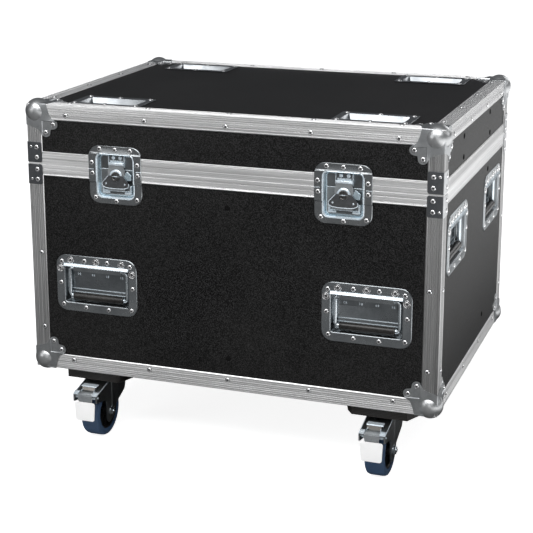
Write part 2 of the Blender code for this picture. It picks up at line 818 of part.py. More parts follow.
def leaf_outline():
    """One leaf of a ball corner, drawn from the box's corner along its two edges."""
    fold = -SHEET - GAP
    neck_radius = LEAF_RIVET_FAR - LEAF_LOBE_RADIUS / 2
    half = [(LEAF_FOLD_LENGTH, fold)]
    half += [(LEAF_FOLD_LENGTH, LEAF_LOBE_RADIUS), (neck_radius, LEAF_RIVET_NEAR - 1.5 * LEAF_LOBE_RADIUS)]
    half += arc(LEAF_RIVET_FAR, LEAF_RIVET_NEAR, LEAF_LOBE_RADIUS, -60, 90, 3)
    waist = (LEAF_RIVET_FAR + LEAF_RIVET_NEAR) / 2
    mirror = [(q, p) for p, q in reversed(half)]
    return [(fold, fold)] + half + [(waist, waist)] + mirror


def ball_corner():
    """A pressed steel corner, drawn for the corner at zero with the box towards +X +Y +Z."""
    outline = leaf_outline()
    skin = -SHEET - GAP
    places = (lambda p, q, w: Vector((p, q, w)), lambda p, q, w: Vector((w, p, q)),
              lambda p, q, w: Vector((p, w, q)))
    leaves = [prism(outline, place, skin, PANEL_FACE) for place in places]
    ball = bmesh.new()
    centre = Matrix.Translation((BALL_INSET, BALL_INSET, BALL_INSET))
    bmesh.ops.create_uvsphere(ball, u_segments=BALL_SEGMENTS, v_segments=BALL_RINGS,
                              radius=BALL_RADIUS, matrix=centre)
    shell = join(leaves[0], leaves[1], leaves[2], mesh_from(ball))
    reach = LEAF_RIVET_FAR + LEAF_LOBE_RADIUS + OVERRUN
    level = PANEL_FACE - GAP
    leg = PROFILE_LEG + GAP
    inner = box(level, reach, level, reach, level, reach)
    rails = [
        box(-GAP, reach, -GAP, leg, -GAP, leg),
        box(-GAP, leg, -GAP, reach, -GAP, leg),
        box(-GAP, leg, -GAP, leg, -GAP, reach),
    ]
    step = leg + SHEET
    low = level - SHEET
    drops = [
        box(step, reach, step, reach, -reach, low),
        box(-reach, low, step, reach, step, reach),
        box(step, reach, -reach, low, step, reach),
    ]
    shaped = cut(shell, inner, *rails)
    shaped = cut(shaped, *drops)
    heads = []
    for a, b in ((LEAF_RIVET_FAR, LEAF_RIVET_NEAR), (LEAF_RIVET_NEAR, LEAF_RIVET_FAR)):
        heads += [((a, b, low), (0, 0, -1)), ((low, a, b), (-1, 0, 0)), ((a, low, b), (0, -1, 0))]
    return riveted(shaped, heads)


def ball_corners():
    """Eight ball corners, one pressing turned to each corner of the box."""
    one = ball_corner()
    for half, level, up in (("base", BOX_BOTTOM, 1), ("lid", BOX_TOP, -1)):
        for depth, sy in (("front", -1), ("rear", 1)):
            for side, sx in (("left", -1), ("right", 1)):
                flip = Matrix.Diagonal((-sx, -sy, up, 1))
                place = Matrix.Translation((sx * HALF_WIDTH, sy * HALF_DEPTH, level))
                name = half + "_ball_corner_" + depth + "_" + side
                group = "lid" if half == "lid" else "case"
                finish(name, moved(one, place @ flip), satin_steel(), group=group)


def bail_axis():
    """Height above the dish's centre, and distance outwards, of the bail's rod."""
    return HANDLE_POCKET_HEIGHT / 2 - BAIL_AXIS_DROP, GAP + SHEET - PANEL_FACE - BAIL_SINK


def handle_dish():
    """A pressed dish with a rolled lip and two clips that hold the bail's rod."""
    half_width = HANDLE_WIDTH / 2
    half_height = HANDLE_HEIGHT / 2
    face = GAP + SHEET - PANEL_FACE
    back = GAP - PANEL_FACE
    flange = prism(rounded(-half_width, half_width, -half_height, half_height, (HANDLE_CORNER,) * 4, 4),
                   on_front, back, face)
    in_width = HANDLE_POCKET_WIDTH / 2
    in_height = HANDLE_POCKET_HEIGHT / 2
    floor = face - HANDLE_POCKET_DEPTH
    shell = block_on_front(-in_width - SHEET, in_width + SHEET, -in_height - SHEET, in_height + SHEET,
                           floor - SHEET, face - SHEET / 2)
    lip = block_on_front(-in_width, in_width, in_height - HANDLE_LIP_HEIGHT, in_height + SHEET,
                         back, face + HANDLE_LIP_PROUD)
    pocket = prism(rounded(-in_width, in_width, -in_height, in_height, (HANDLE_POCKET_CORNER,) * 4, 2),
                   on_front, floor, face + OVERRUN)
    axis_z, axis_w = bail_axis()
    outer = BAIL_ROD_RADIUS + CLIP_WALL
    clips = [block_on_front(side * CLIP_SPREAD - CLIP_WIDTH / 2, side * CLIP_SPREAD + CLIP_WIDTH / 2,
                            axis_z - outer, in_height + SHEET / 2, floor - SHEET / 2, axis_w + outer / 2)
             for side in (-1, 1)]
    bore = rod_along_x(BAIL_ROD_RADIUS + GAP, -in_width, in_width, -axis_w, axis_z)
    dish = cut(join(flange, shell), pocket)
    return cut(join(dish, lip, *clips), bore)


def bail():
    """A closed ring of steel rod that hangs from its top run, with a rubber grip below."""
    axis_z, axis_w = bail_axis()
    low = axis_z - BAIL_DROP
    ring = rounded(-BAIL_HALF_WIDTH, BAIL_HALF_WIDTH, low, axis_z, (BAIL_CORNER,) * 4, 2)
    sides = 8
    count = len(ring)
    bm = bmesh.new()
    rings = []
    for i, (u, v) in enumerate(ring):
        here = Vector((u, v))
        first = (here - Vector(ring[i - 1])).normalized()
        second = (Vector(ring[(i + 1) % count]) - here).normalized()
        tangent = (first + second).normalized()
        normal = Vector((tangent.y, -tangent.x)) / first.dot(tangent)
        loop = []
        for p, q in polygon(BAIL_ROD_RADIUS, sides):
            spot = here + normal * p
            loop.append(bm.verts.new(on_front(spot.x, spot.y, axis_w + q)))
        rings.append(loop)
    for i in range(count):
        here = rings[i]
        there = rings[(i + 1) % count]
        for k in range(sides):
            m = (k + 1) % sides
            bm.faces.new((here[k], here[m], there[m], there[k]))
    half = GRIP_LENGTH / 2
    grip = rod_along_x(GRIP_RADIUS, -half, half, -axis_w, low)
    return join(mesh_from(bm), grip)


def handles():
    """Six spring handles, each a pressed dish and a bail on its own joint."""
    dish = handle_dish()
    ring = bail()
    axis_z, axis_w = bail_axis()
    for name, turn, distance, along, height in handle_places():
        place = face_matrix(turn, distance, along, height)
        origin = place @ on_front(0, axis_z, axis_w)
        finish(name + "_handle_dish", moved(dish, place), zinc())
        finish(name + "_handle_bail", moved(ring, place), zinc(), origin)


def latch_sheet(near, far, band, corner_radii, pocket_far):
    """Half of a latch dish: a stepped flange round a pocket that is open at the parting.

    Heights are distances from the parting, up for the lid's half and down for the base's half.
    """
    half = LATCH_WIDTH / 2
    sign = 1 if far > 0 else -1
    step = sign * (band + GAP)
    face = GAP + SHEET
    low_face = face - PANEL_FACE
    section = (
        (near, GAP), (near, face), (step + sign * SHEET, face), (step + sign * 2 * SHEET, low_face),
        (far, low_face), (far, GAP - PANEL_FACE), (step, GAP - PANEL_FACE), (step, GAP),
    )
    skin = prism([(v, w) for v, w in section], lambda v, w, u: on_front(u, v, w), -half, half)
    low = min(near, far)
    high = max(near, far)
    shape = prism(rounded(-half, half, low, high, corner_radii, 4), on_front, -OVERRUN, OVERRUN)
    skin = common(skin, shape)
    inner = LATCH_POCKET_WIDTH / 2
    outer = inner + SHEET
    floor = face - LATCH_POCKET_DEPTH
    end = pocket_far + sign * SHEET
    shell = block_on_front(-outer, outer, min(near, end), max(near, end), floor - SHEET, low_face - SHEET / 2)
    cheek = block_on_front(-outer, outer, min(near, step), max(near, step), floor - SHEET, face - SHEET / 2)
    start = near - sign * OVERRUN
    radius = LATCH_POCKET_CORNER
    radii = (radius, radius, 0, 0) if sign < 0 else (0, 0, radius, radius)
    pocket = prism(rounded(-inner, inner, min(start, pocket_far), max(start, pocket_far), radii, 3),
                   on_front, floor, face + OVERRUN)
    return cut(join(skin, shell, cheek), pocket)


def latch_hub():
    """The cam's round hub with its key recess and the wing's pivot pin."""
    face, floor = latch_depths()
    front = face - HUB_SINK
    centre = -HUB_DROP
    round_hub = [(u, v + centre) for u, v in polygon(HUB_RADIUS, 20)]
    key = [(u, v + centre) for u, v in polygon(HUB_KEY_RADIUS, 6)]
    hub = prism(round_hub, on_front, floor + GAP, front)
    pin_w = face - WING_SINK - WING_SHEET / 2
    reach = HUB_RADIUS + 2 * GAP + WING_EAR_WIDTH
    pin = rod_along_x(WING_PIN_RADIUS, -reach, reach, -pin_w, centre, 8)
    hub = cut(hub, prism(key, on_front, front - HUB_KEY_DEPTH, front + OVERRUN))
    return join(hub, pin), Vector(on_front(0, centre, pin_w))


def latch_wing():
    """The butterfly grip, folded down flat, with an ear on each side of the hub."""
    face, floor = latch_depths()
    centre = -HUB_DROP
    front = face - WING_SINK
    back = front - WING_SHEET
    room = HUB_RADIUS + 2 * GAP
    shoulder = room + WING_EAR_WIDTH
    low = centre - WING_DROP
    tip = centre - WING_DROP * WING_TIP_SHARE
    outline = [(-shoulder, centre + WING_RISE), (-WING_HALF_WIDTH, tip)]
    outline += [(-WING_HALF_WIDTH * WING_FOOT_SHARE, low), (WING_HALF_WIDTH * WING_FOOT_SHARE, low)]
    outline += [(WING_HALF_WIDTH, tip), (shoulder, centre + WING_RISE), (room, centre + WING_RISE)]
    outline += arc(0, centre, room, 0, -180, 8)
    outline += [(-room, centre + WING_RISE)]
    plate = prism(outline, on_front, back, front)
    pin_w = front - WING_SHEET / 2
    ears = [rod_along_x(WING_EAR_RADIUS, side * (room + WING_EAR_WIDTH / 2) - WING_EAR_WIDTH / 2,
                        side * (room + WING_EAR_WIDTH / 2) + WING_EAR_WIDTH / 2, -pin_w, centre, 10)
            for side in (-1, 1)]
    bore = rod_along_x(WING_PIN_RADIUS + GAP, -shoulder - OVERRUN, shoulder + OVERRUN, -pin_w, centre, 8)
    holes = []
    for side in (-1, 1):
        hole_u = side * WING_HALF_WIDTH * WING_HOLE_ALONG_SHARE
        hole_v = centre - WING_DROP * WING_HOLE_DOWN_SHARE
        ring = [(hole_u + u, hole_v + v) for u, v in polygon(WING_HOLE_RADIUS, 8)]
        holes.append(prism(ring, on_front, back - OVERRUN / 4, front + OVERRUN))
    return cut(join(plate, *ears), bore, *holes)


def latch_hook():
    """The flat hook plate that the cam lifts; its slot runs round the hub."""
    face, floor = latch_depths()
    front = face - HOOK_SINK
    back = front - SHEET
    centre = -HUB_DROP
    room = HUB_RADIUS + 2 * GAP
    top = HOOK_TOP
    neck = centre + HUB_RADIUS + 4 * SHEET
    low = centre - room - HOOK_TRAVEL - 4 * SHEET
    outline = [
        (-HOOK_HALF_WIDTH, low), (HOOK_HALF_WIDTH, low), (HOOK_HALF_WIDTH, neck),
        (KEEPER_HALF_WIDTH, neck + 4 * SHEET), (KEEPER_HALF_WIDTH, top - 2 * SHEET),
        (HOOK_NOSE_HALF_WIDTH, top - SHEET), (HOOK_NOSE_HALF_WIDTH, top),
        (-HOOK_NOSE_HALF_WIDTH, top), (-HOOK_NOSE_HALF_WIDTH, top - SHEET),
        (-KEEPER_HALF_WIDTH, top - 2 * SHEET), (-KEEPER_HALF_WIDTH, neck + 4 * SHEET),
        (-HOOK_HALF_WIDTH, neck),
    ]
    plate = prism(outline, on_front, back, front)
    slot = arc(0, centre, room, 0, 180, 8) + arc(0, centre - HOOK_TRAVEL, room, 180, 360, 8)
    return cut(plate, prism(slot, on_front, back - OVERRUN / 4, front + OVERRUN))


def latch_keeper():
    """The strike riveted in the upper dish: a plate, a ledge and two domed rivets."""
    face, floor = latch_depths()
    sunk = floor - SHEET / 2
    ledge_front = face - HOOK_SINK - SHEET - GAP
    half = KEEPER_HALF_WIDTH
    low = KEEPER_LEDGE_TOP - LEDGE_SHEET
    outline = ((sunk, low), (ledge_front, low), (ledge_front, KEEPER_LEDGE_TOP),
               (floor + SHEET, KEEPER_LEDGE_TOP), (floor + SHEET, KEEPER_TOP), (sunk, KEEPER_TOP))
    made = [prism(outline, lambda w, v, u: on_front(u, v, w), -half, half)]
    for side in (-1, 1):
        spot = on_front(side * KEEPER_RIVET_SPREAD, KEEPER_RIVET_HEIGHT, floor + SHEET)
        made.append(rivet_head(spot, (0, -1, 0)))
    return made


def latches():
    """Two twist latches: lower and upper dish, cam, folding wing and hook."""
    half_gap = GAP / 2
    lower = latch_sheet(-half_gap, -LATCH_DOWN, BASE_BAND, (LATCH_CORNER, LATCH_CORNER, 0, 0),
                        -LATCH_POCKET_DOWN)
    upper = latch_sheet(half_gap, LATCH_UP, LID_BAND, (0, 0, LATCH_CORNER, LATCH_CORNER),
                        LATCH_POCKET_UP)
    upper = join(upper, *latch_keeper())
    hub, hub_origin = latch_hub()
    wing = latch_wing()
    hook = latch_hook()
    for side, x in latch_places():
        frame = Matrix.Translation((x, -HALF_DEPTH, PARTING))
        origin = frame @ hub_origin
        finish(side + "_latch_lower_dish", moved(lower, frame), zinc())
        finish(side + "_latch_upper_dish", moved(upper, frame), zinc(), group="lid")
        finish(side + "_latch_cam", moved(hub, frame), zinc(), origin)
        finish(side + "_latch_wing", moved(wing, frame), zinc(), origin)
        finish(side + "_latch_hook", moved(hook, frame), zinc(), origin)


def stacking_dish():
    """A pressed pan for a castor of the case above, its flange on the lid's panel."""
    level = BOX_TOP - PANEL_FACE
    back = level + GAP
    face = back + SHEET
    half_long = DISH_LENGTH / 2
    half_short = DISH_WIDTH / 2
    flange = prism(rounded(-half_long, half_long, -half_short, half_short, (DISH_CORNER,) * 4, 2),
                   on_top, back, face)
    in_long = PAN_LENGTH / 2
    in_short = PAN_WIDTH / 2
    floor = face - PAN_DEPTH

    def pan(grow, top, bottom):
        bm = bmesh.new()
        rings = []
        for z, shrink in ((top, 0), (bottom, PAN_SLOPE)):
            u = in_long + grow - shrink
            v = in_short + grow - shrink
            rings.append([bm.verts.new((x, y, z)) for x, y in ((-u, -v), (u, -v), (u, v), (-u, v))])
        for i in range(4):
            j = (i + 1) % 4
            bm.faces.new((rings[0][i], rings[0][j], rings[1][j], rings[1][i]))
        bm.faces.new(rings[0])
        bm.faces.new(rings[1])
        return mesh_from(bm)

    shell = join(flange, pan(SHEET, face - SHEET / 2, floor - SHEET))
    heads = []
    for i in (-1, 0, 1):
        for side in (-1, 1):
            heads.append(((i * DISH_RIVET_SPREAD_LONG, side * DISH_RIVET_SPREAD_SHORT, face), (0, 0, 1)))
    return riveted(cut(shell, pan(0, face + SHEET / 2, floor)), heads)


def stacking_dishes():
    """Four pans in the lid, over the castors."""
    dish = stacking_dish()
    for x, y in dish_places():
        name = ("front" if y < 0 else "rear") + ("_left" if x < 0 else "_right") + "_stacking_dish"
        finish(name, moved(dish, Matrix.Translation((x, y, 0))), zinc(), group="lid")


def castor_places():
    """Name, x, y; the front pair has brakes."""
    return (
        ("front_left", -CASTOR_X, -CASTOR_Y), ("front_right", CASTOR_X, -CASTOR_Y),
        ("rear_left", -CASTOR_X, CASTOR_Y), ("rear_right", CASTOR_X, CASTOR_Y),
    )


def fork_top():
    return CASTOR_HEIGHT - PLATE_THICKNESS - RACE_HEIGHT - GAP


def castor_mount(x, y):
    """A plywood pad with bevelled ends and, bolted below it, the castor's top plate and ball race.

    The pad is rebated where the ball corner's leaf lies under the box.
    """
    top = BOX_BOTTOM - GAP
    half = BOARD_WIDTH / 2
    outline = ((-half, top), (-half, top - SHEET), (-half + BOARD_BEVEL, CASTOR_HEIGHT),
               (half - BOARD_BEVEL, CASTOR_HEIGHT), (half, top - SHEET), (half, top))
    board = prism(outline, on_front, -BOARD_DEPTH / 2, BOARD_DEPTH / 2)
    low = CASTOR_HEIGHT - PLATE_THICKNESS
    plate = box(-PLATE_LENGTH / 2, PLATE_LENGTH / 2, -PLATE_WIDTH / 2, PLATE_WIDTH / 2, low,
                CASTOR_HEIGHT + SHEET)
    race = prism(polygon(RACE_RADIUS, 20), on_top, low - RACE_HEIGHT, low + SHEET)
    bolts = []
    for sx in (-1, 1):
        for sy in (-1, 1):
            outline = [(sx * BOLT_SPREAD_LONG + u, sy * BOLT_SPREAD_SHORT + v)
                       for u, v in polygon(BOLT_HEAD_RADIUS, 6)]
            bolts.append(prism(outline, on_top, low - BOLT_HEAD_HEIGHT, low + SHEET))
    mount = join(board, plate, race, *bolts)
    mount.transform(Matrix.Translation((x, y, 0)))
    leaf = LEAF_RIVET_FAR + LEAF_LOBE_RADIUS + GAP
    sx = math.copysign(1, x)
    sy = math.copysign(1, y)
    xs = sorted((sx * (HALF_WIDTH - leaf), sx * HALF_WIDTH))
    ys = sorted((sy * (HALF_DEPTH - leaf), sy * HALF_DEPTH))
    rebate_low = BOX_BOTTOM - SHEET - 2 * GAP - RIVET_HEIGHT
    return cut(mount, box(xs[0], xs[1], ys[0], ys[1], rebate_low, BOX_BOTTOM))


def castor_fork(with_brake):
    """A pressed fork that trails towards -Y, with its axle; the braked one has ears and a pin."""
    top = fork_top()
    nose = EAR_FRONT if with_brake else APRON_FRONT
    fall = top - FORK_FALL
    outline = [
        (FORK_BACK, top), (FORK_BACK, FORK_BACK_LOW), (-LEG_BACK, LEG_BACK_LOW),
        (-LEG_FRONT + LEG_SHOULDER, LEG_LOW), (-LEG_FRONT, LEG_LOW + LEG_SHOULDER), (-LEG_FRONT, EAR_LOW),
        (-nose, EAR_LOW), (-nose, fall), (-RACE_RADIUS, top),
    ]
    inner = HUB_HALF_WIDTH + GAP + GAP
    outer = inner + FORK_SHEET
    sides = prism(outline, on_side, -outer, outer)
    under = [
        (FORK_BACK + OVERRUN, top - FORK_SHEET), (FORK_BACK + OVERRUN, 0), (-nose - OVERRUN, 0),
        (-nose - OVERRUN, fall - FORK_SHEET), (-RACE_RADIUS, top - FORK_SHEET),
    ]
    hollow = prism(under, on_side, -inner, inner)
    nose_gap = box(-inner, inner, -nose - OVERRUN, -APRON_FRONT, 0, top)
    fork = cut(sides, hollow)
    parts = [prism(polygon(HEAD_RADIUS, 20), on_top, top - HEAD_HEIGHT, top)]
    if with_brake:
        fork = cut(fork, nose_gap)
        parts.append(rod_along_x(PEDAL_PIN_RADIUS, -inner - SHEET, inner + SHEET,
                                 -PEDAL_AXIS_FORWARD, PEDAL_AXIS_HEIGHT, 10))
    nut = outer + AXLE_NUT_THICKNESS
    parts.append(rod_along_x(AXLE_RADIUS, -outer, outer, -TRAIL, WHEEL_RADIUS))
    parts.append(rod_along_x(AXLE_NUT_RADIUS, -nut, -outer + SHEET, -TRAIL, WHEEL_RADIUS, 6))
    parts.append(rod_along_x(AXLE_NUT_RADIUS, outer - SHEET, nut, -TRAIL, WHEEL_RADIUS, 6))
    return join(fork, *parts)


def castor_wheel():
    """A wheel turned in one piece: hub, disc, rim and the tyre moulded round it."""
    half = [(AXLE_RADIUS + GAP, HUB_HALF_WIDTH), (HUB_OUTER_RADIUS, HUB_HALF_WIDTH)]
    half += [(HUB_OUTER_RADIUS, RIM_DISC_HALF_WIDTH), (RIM_RADIUS - RIM_LIP, RIM_DISC_HALF_WIDTH)]
    half += [(RIM_RADIUS - RIM_LIP, RIM_HALF_WIDTH)]
    half += [(RIM_RADIUS + TYRE_SHOULDER, WHEEL_HALF_WIDTH), (WHEEL_RADIUS - TYRE_SHOULDER, WHEEL_HALF_WIDTH)]
    half += [(WHEEL_RADIUS, WHEEL_HALF_WIDTH - TYRE_SHOULDER)]
    return turned(half + [(r, -x) for r, x in reversed(half)], WHEEL_SIDES)


def brake_pedal():
    """The brake's foot pedal on its barrel, hanging down in front of the tyre."""
    y = -PEDAL_AXIS_FORWARD
    z = PEDAL_AXIS_HEIGHT
    front = -PEDAL_FACE_FORWARD
    back = front + PEDAL_THICKNESS
    half = PEDAL_HALF_WIDTH
    arm = PEDAL_ARM_HALF_WIDTH
    barrel = rod_along_x(PEDAL_BARREL_RADIUS, -arm, arm, y, z)
    neck = box(-arm, arm, front + PEDAL_THICKNESS / 2, y, PEDAL_TOP - PEDAL_THICKNESS, z)
    outline = rounded(-half, half, PEDAL_BOTTOM, PEDAL_TOP, (PEDAL_THICKNESS,) * 4, 2)
    plate = prism(outline, on_front, -back, -front)
    bore = rod_along_x(PEDAL_PIN_RADIUS + GAP, -half, half, y, z, 10)
    return cut(join(barrel, neck, plate), bore)


def castors():
    """Four swivel castors under their pads; the front pair brakes."""
    wheel = castor_wheel()
    braked = castor_fork(True)
    plain = castor_fork(False)
    pedal = brake_pedal()
    for name, x, y in castor_places():
        place = Matrix.Translation((x, y, 0))
        fork = braked if name.startswith("front") else plain
        axle = (x, y - TRAIL, WHEEL_RADIUS)
        finish(name + "_castor_mount", castor_mount(x, y), plywood())
        finish(name + "_castor_fork", moved(fork, place), dark_steel(), (x, y, 0))
        finish(name + "_castor_wheel", moved(wheel, Matrix.Translation(axle)), blue_rubber(), axle)
        if name.startswith("front"):
            pivot = (x, y - PEDAL_AXIS_FORWARD, PEDAL_AXIS_HEIGHT)
            finish(name + "_brake_pedal", moved(pedal, place), white_plastic(), pivot)


def build():
    for old in list(bpy.data.objects):
        bpy.data.objects.remove(old)
    case = bpy.data.objects.new("case", None)
    case.location = (0, CASE_SHIFT, 0)
    lid = bpy.data.objects.new("lid", None)
    lid.parent = case
    lid.location = (0, HINGE_Y, PARTING)
    for name, empty in (("case", case), ("lid", lid)):
        bpy.context.scene.collection.objects.link(empty)
        PARENTS[name] = empty
    base_frame()
    lid_frame()
    base_panels()
    lid_panels()
    ball_corners()
    handles()
    latches()
    stacking_dishes()
    castors()


build()
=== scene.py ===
import math

import bmesh
import bpy
from mathutils import Matrix, Vector


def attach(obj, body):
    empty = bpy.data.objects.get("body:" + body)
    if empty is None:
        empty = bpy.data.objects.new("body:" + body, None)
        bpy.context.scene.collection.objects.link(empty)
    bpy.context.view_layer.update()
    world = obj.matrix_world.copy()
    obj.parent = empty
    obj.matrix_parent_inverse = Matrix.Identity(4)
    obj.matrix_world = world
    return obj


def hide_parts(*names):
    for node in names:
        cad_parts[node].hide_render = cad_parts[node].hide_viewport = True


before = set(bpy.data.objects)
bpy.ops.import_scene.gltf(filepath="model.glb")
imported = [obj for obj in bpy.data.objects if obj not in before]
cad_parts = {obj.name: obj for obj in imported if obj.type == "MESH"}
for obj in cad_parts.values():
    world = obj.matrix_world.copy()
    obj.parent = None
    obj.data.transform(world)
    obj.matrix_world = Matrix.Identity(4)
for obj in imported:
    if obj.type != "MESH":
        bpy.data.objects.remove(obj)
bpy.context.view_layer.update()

# The studio: a wide pale floor under the case, one very large soft box overhead, smaller ones in
# front and at the sides, a dim room round it, and a camera at standing height near the front right corner.


def fill(tree, socket, value):
    """Wire a socket or set it; a colour is given as its three parts."""
    if isinstance(value, bpy.types.NodeSocket):
        tree.links.new(value, socket)
    else:
        socket.default_value = (*value, 1) if socket.type == "RGBA" else value


def joined(tree, kind, settings=None, **inputs):
    """Add a shader node; inputs go by name, with _ for a space, or by place as i0, i1."""
    made = tree.nodes.new(kind)
    for key, value in (settings or {}).items():
        setattr(made, key, value)
    for key, value in inputs.items():
        by_place = key[0] == "i" and key[1:].isdigit()
        fill(tree, made.inputs[int(key[1:]) if by_place else key.replace("_", " ")], value)
    return made


def maths(tree, operation, *values):
    """The result of one sum."""
    places = {f"i{i}": value for i, value in enumerate(values)}
    return joined(tree, "ShaderNodeMath", {"operation": operation}, **places).outputs[0]


def spread(tree, value, low, high, out_low=0.0, out_high=1.0):
    """Map a value from one range to another and keep it there."""
    return joined(tree, "ShaderNodeMapRange", Value=value, From_Min=low, From_Max=high,
                  To_Min=out_low, To_Max=out_high).outputs["Result"]


def shade(tree, factor, first, second):
    """A colour between two, by a factor from 0 to 1."""
    return joined(tree, "ShaderNodeMix", {"data_type": "RGBA"}, i0=factor, i6=first, i7=second).outputs[2]


def pale_floor():
    """White paint glowing far off for the camera; metal sees in it a painted reflection, dark in front and bright to
    the right.
    """
    made = bpy.data.materials.new("pale_floor")
    made.use_nodes = True
    tree = made.node_tree
    tree.nodes.clear()
    seen = tree.nodes.new("ShaderNodeLightPath").outputs
    spot = tree.nodes.new("ShaderNodeTexCoord").outputs["Object"]
    split = joined(tree, "ShaderNodeSeparateXYZ", Vector=spot).outputs
    away = joined(tree, "ShaderNodeVectorMath", {"operation": "LENGTH"}, i0=spot).outputs["Value"]
    far_glow = maths(tree, "MULTIPLY", seen["Is Camera Ray"], spread(tree, away, 0.5, 1.8, 0.88, 1.0))
    mirrored = maths(tree, "MAXIMUM", seen["Is Glossy Ray"], seen["Is Transmission Ray"])
    # Glossy rays only: a painted reflection, a glow to the right of the case and painted dark paint in front of it.
    painted_reflection_glow = maths(tree, "MULTIPLY", mirrored, spread(tree, split["X"], 0.66, 0.94, 0.0, 1.04))
    near = maths(tree, "MULTIPLY", spread(tree, split["X"], 0.55, 0.95, 1.0, 0.0),
                 spread(tree, split["Y"], -0.50, -0.30, 0.82, 1.0))
    paint = shade(tree, maths(tree, "MULTIPLY", mirrored, near), (0.86, 0.86, 0.86), (0.10, 0.10, 0.10))
    matt = joined(tree, "ShaderNodeBsdfDiffuse", Color=paint)
    glow = joined(tree, "ShaderNodeEmission", Strength=maths(tree, "ADD", far_glow, painted_reflection_glow))
    both = joined(tree, "ShaderNodeAddShader", i0=matt.outputs[0], i1=glow.outputs[0])
    joined(tree, "ShaderNodeOutputMaterial", Surface=both.outputs[0])
    return made


reach = 14.0
floor_mesh = bpy.data.meshes.new("floor")
floor_mesh.from_pydata([(-reach, -reach, 0), (reach, -reach, 0), (reach, reach, 0), (-reach, reach, 0)],
                       [], [(0, 1, 2, 3)])
floor_mesh.materials.append(pale_floor())
floor = bpy.data.objects.new("floor", floor_mesh)
bpy.context.scene.collection.objects.link(floor)

room = bpy.data.worlds.new("studio_room")
room.use_nodes = True
looked_at = room.node_tree.nodes.new("ShaderNodeLightPath").outputs["Is Camera Ray"]
room.node_tree.links.new(shade(room.node_tree, looked_at, (0.105, 0.108, 0.115), (1, 1, 1)),
                         room.node_tree.nodes["Background"].inputs["Color"])
bpy.context.scene.world = room

for name, spot, aim, width, height, power in (
        ("overhead_soft_box", (0.1, -1.9, 2.75), (0, 0, 0.4), 3.6, 2.0, 90),
        ("right_rear_soft_box", (1.5, 2.8, 1.9), (0.4, 0, 0.5), 1.2, 1.6, 14),
        ("front_soft_box", (0.6, -3.4, 1.0), (0, 0, 0.35), 1.2, 1.2, 6),
        ("left_soft_box", (-2.1, -2.7, 1.25), (-0.4, -0.3, 0.4), 1.0, 1.4, 10.5),
        ("side_soft_box", (3.0, 0.7, 1.9), (0.3, 0, 0.35), 1.6, 1.4, 9.5)):
    lamp = bpy.data.lights.new(name, "AREA")
    lamp.shape = "RECTANGLE"
    lamp.size, lamp.size_y, lamp.energy = width, height, power
    box = bpy.data.objects.new(name, lamp)
    box.location = spot
    box.rotation_euler = (Vector(aim) - Vector(spot)).to_track_quat("-Z", "Y").to_euler()
    bpy.context.scene.collection.objects.link(box)

lens = bpy.data.cameras.new("camera")
lens.sensor_width = 36
lens.lens = 95.77
lens.shift_y = -0.10
lens.clip_end = 60
camera = bpy.data.objects.new("camera", lens)
camera.location = (0.8980, -2.6189, 1.1289)
camera.rotation_euler = (math.radians(75.53), 0, math.radians(19.42))
bpy.context.scene.collection.objects.link(camera)
bpy.context.scene.camera = camera
bpy.context.scene.view_settings.view_transform = "Standard"

# Plywood panels: birch plywood faced on both sides with a black phenolic film that has a fine
# leathery speckle. They are sawn square and slide into the slots of the aluminium profiles.


def noise(tree, spot, scale, detail=2.0, **more):
    """A soft random tone at a spot."""
    return joined(tree, "ShaderNodeTexNoise", Vector=spot, Scale=scale, Detail=detail, **more).outputs["Fac"]


def new_group(name, inputs, outputs):
    """A shader node group with named sockets; returns it and what it is given."""
    group = bpy.data.node_groups.new(name, "ShaderNodeTree")
    for label, kind in inputs.items():
        group.interface.new_socket(label, in_out="INPUT", socket_type=f"NodeSocket{kind}")
    for label in outputs:
        group.interface.new_socket(label, in_out="OUTPUT", socket_type="NodeSocketFloat")
    return group, group.nodes.new("NodeGroupInput").outputs


def finish(name):
    """A new material; returns it, its tree and the surface position."""
    made = bpy.data.materials.new(name)
    made.use_nodes = True
    return made, made.node_tree, made.node_tree.nodes.new("ShaderNodeTexCoord").outputs["Object"]


def dressed(made, colour, roughness, relief=None, **more):
    """Give a material its colour, its roughness, its relief as (strength, depth, height) and the rest."""
    tree = made.node_tree
    if relief:
        strength, depth, height = relief
        bump = joined(tree, "ShaderNodeBump", Strength=strength, Distance=depth, Height=height)
        more["Normal"] = bump.outputs["Normal"]
    for key, value in {"Base Color": colour, "Roughness": roughness, **more}.items():
        fill(tree, tree.nodes["Principled BSDF"].inputs[key.replace("_", " ")], value)
    return made


def handling_dust():
    """Faint dust: large soft patches with finer specks in them."""
    group, given = new_group("handling_dust", {"Position": "Vector", "Patch Size": "Float"}, ["Dust"])
    patches = noise(group, given["Position"], given["Patch Size"], 5.0, Roughness=0.62)
    specks = noise(group, given["Position"], 420.0)
    joined(group, "NodeGroupOutput", Dust=maths(group, "MULTIPLY", spread(group, patches, 0.42, 0.70),
                                                spread(group, specks, 0.35, 0.70, 0.3, 1.0)))
    return group


dusting = handling_dust()


def dust_on(tree, position, patch_size):
    made = joined(tree, "ShaderNodeGroup", {"node_tree": dusting}, Position=position, Patch_Size=patch_size)
    return made.outputs["Dust"]


def black_laminate():
    made, tree, position = finish("black_laminate")
    grain = noise(tree, position, 590.0, Roughness=0.75)
    leather = joined(tree, "ShaderNodeTexVoronoi", Vector=position, Scale=480.0, Randomness=1.0)
    film = shade(tree, spread(tree, grain, 0.49, 0.60), (0.0006, 0.0006, 0.0006), (0.0185, 0.0184, 0.0187))
    dust = spread(tree, dust_on(tree, position, 3.2), 0.0, 1.0, 0.0, 0.16)
    relief = maths(tree, "MULTIPLY_ADD", leather.outputs["Distance"], 0.8, grain)
    return dressed(made, shade(tree, dust, film, (0.060, 0.058, 0.055)),
                   spread(tree, grain, 0.42, 0.60, 0.38, 0.60), (0.75, 0.0003, relief),
                   Specular_IOR_Level=spread(tree, grain, 0.44, 0.62, 0.20, 0.44))


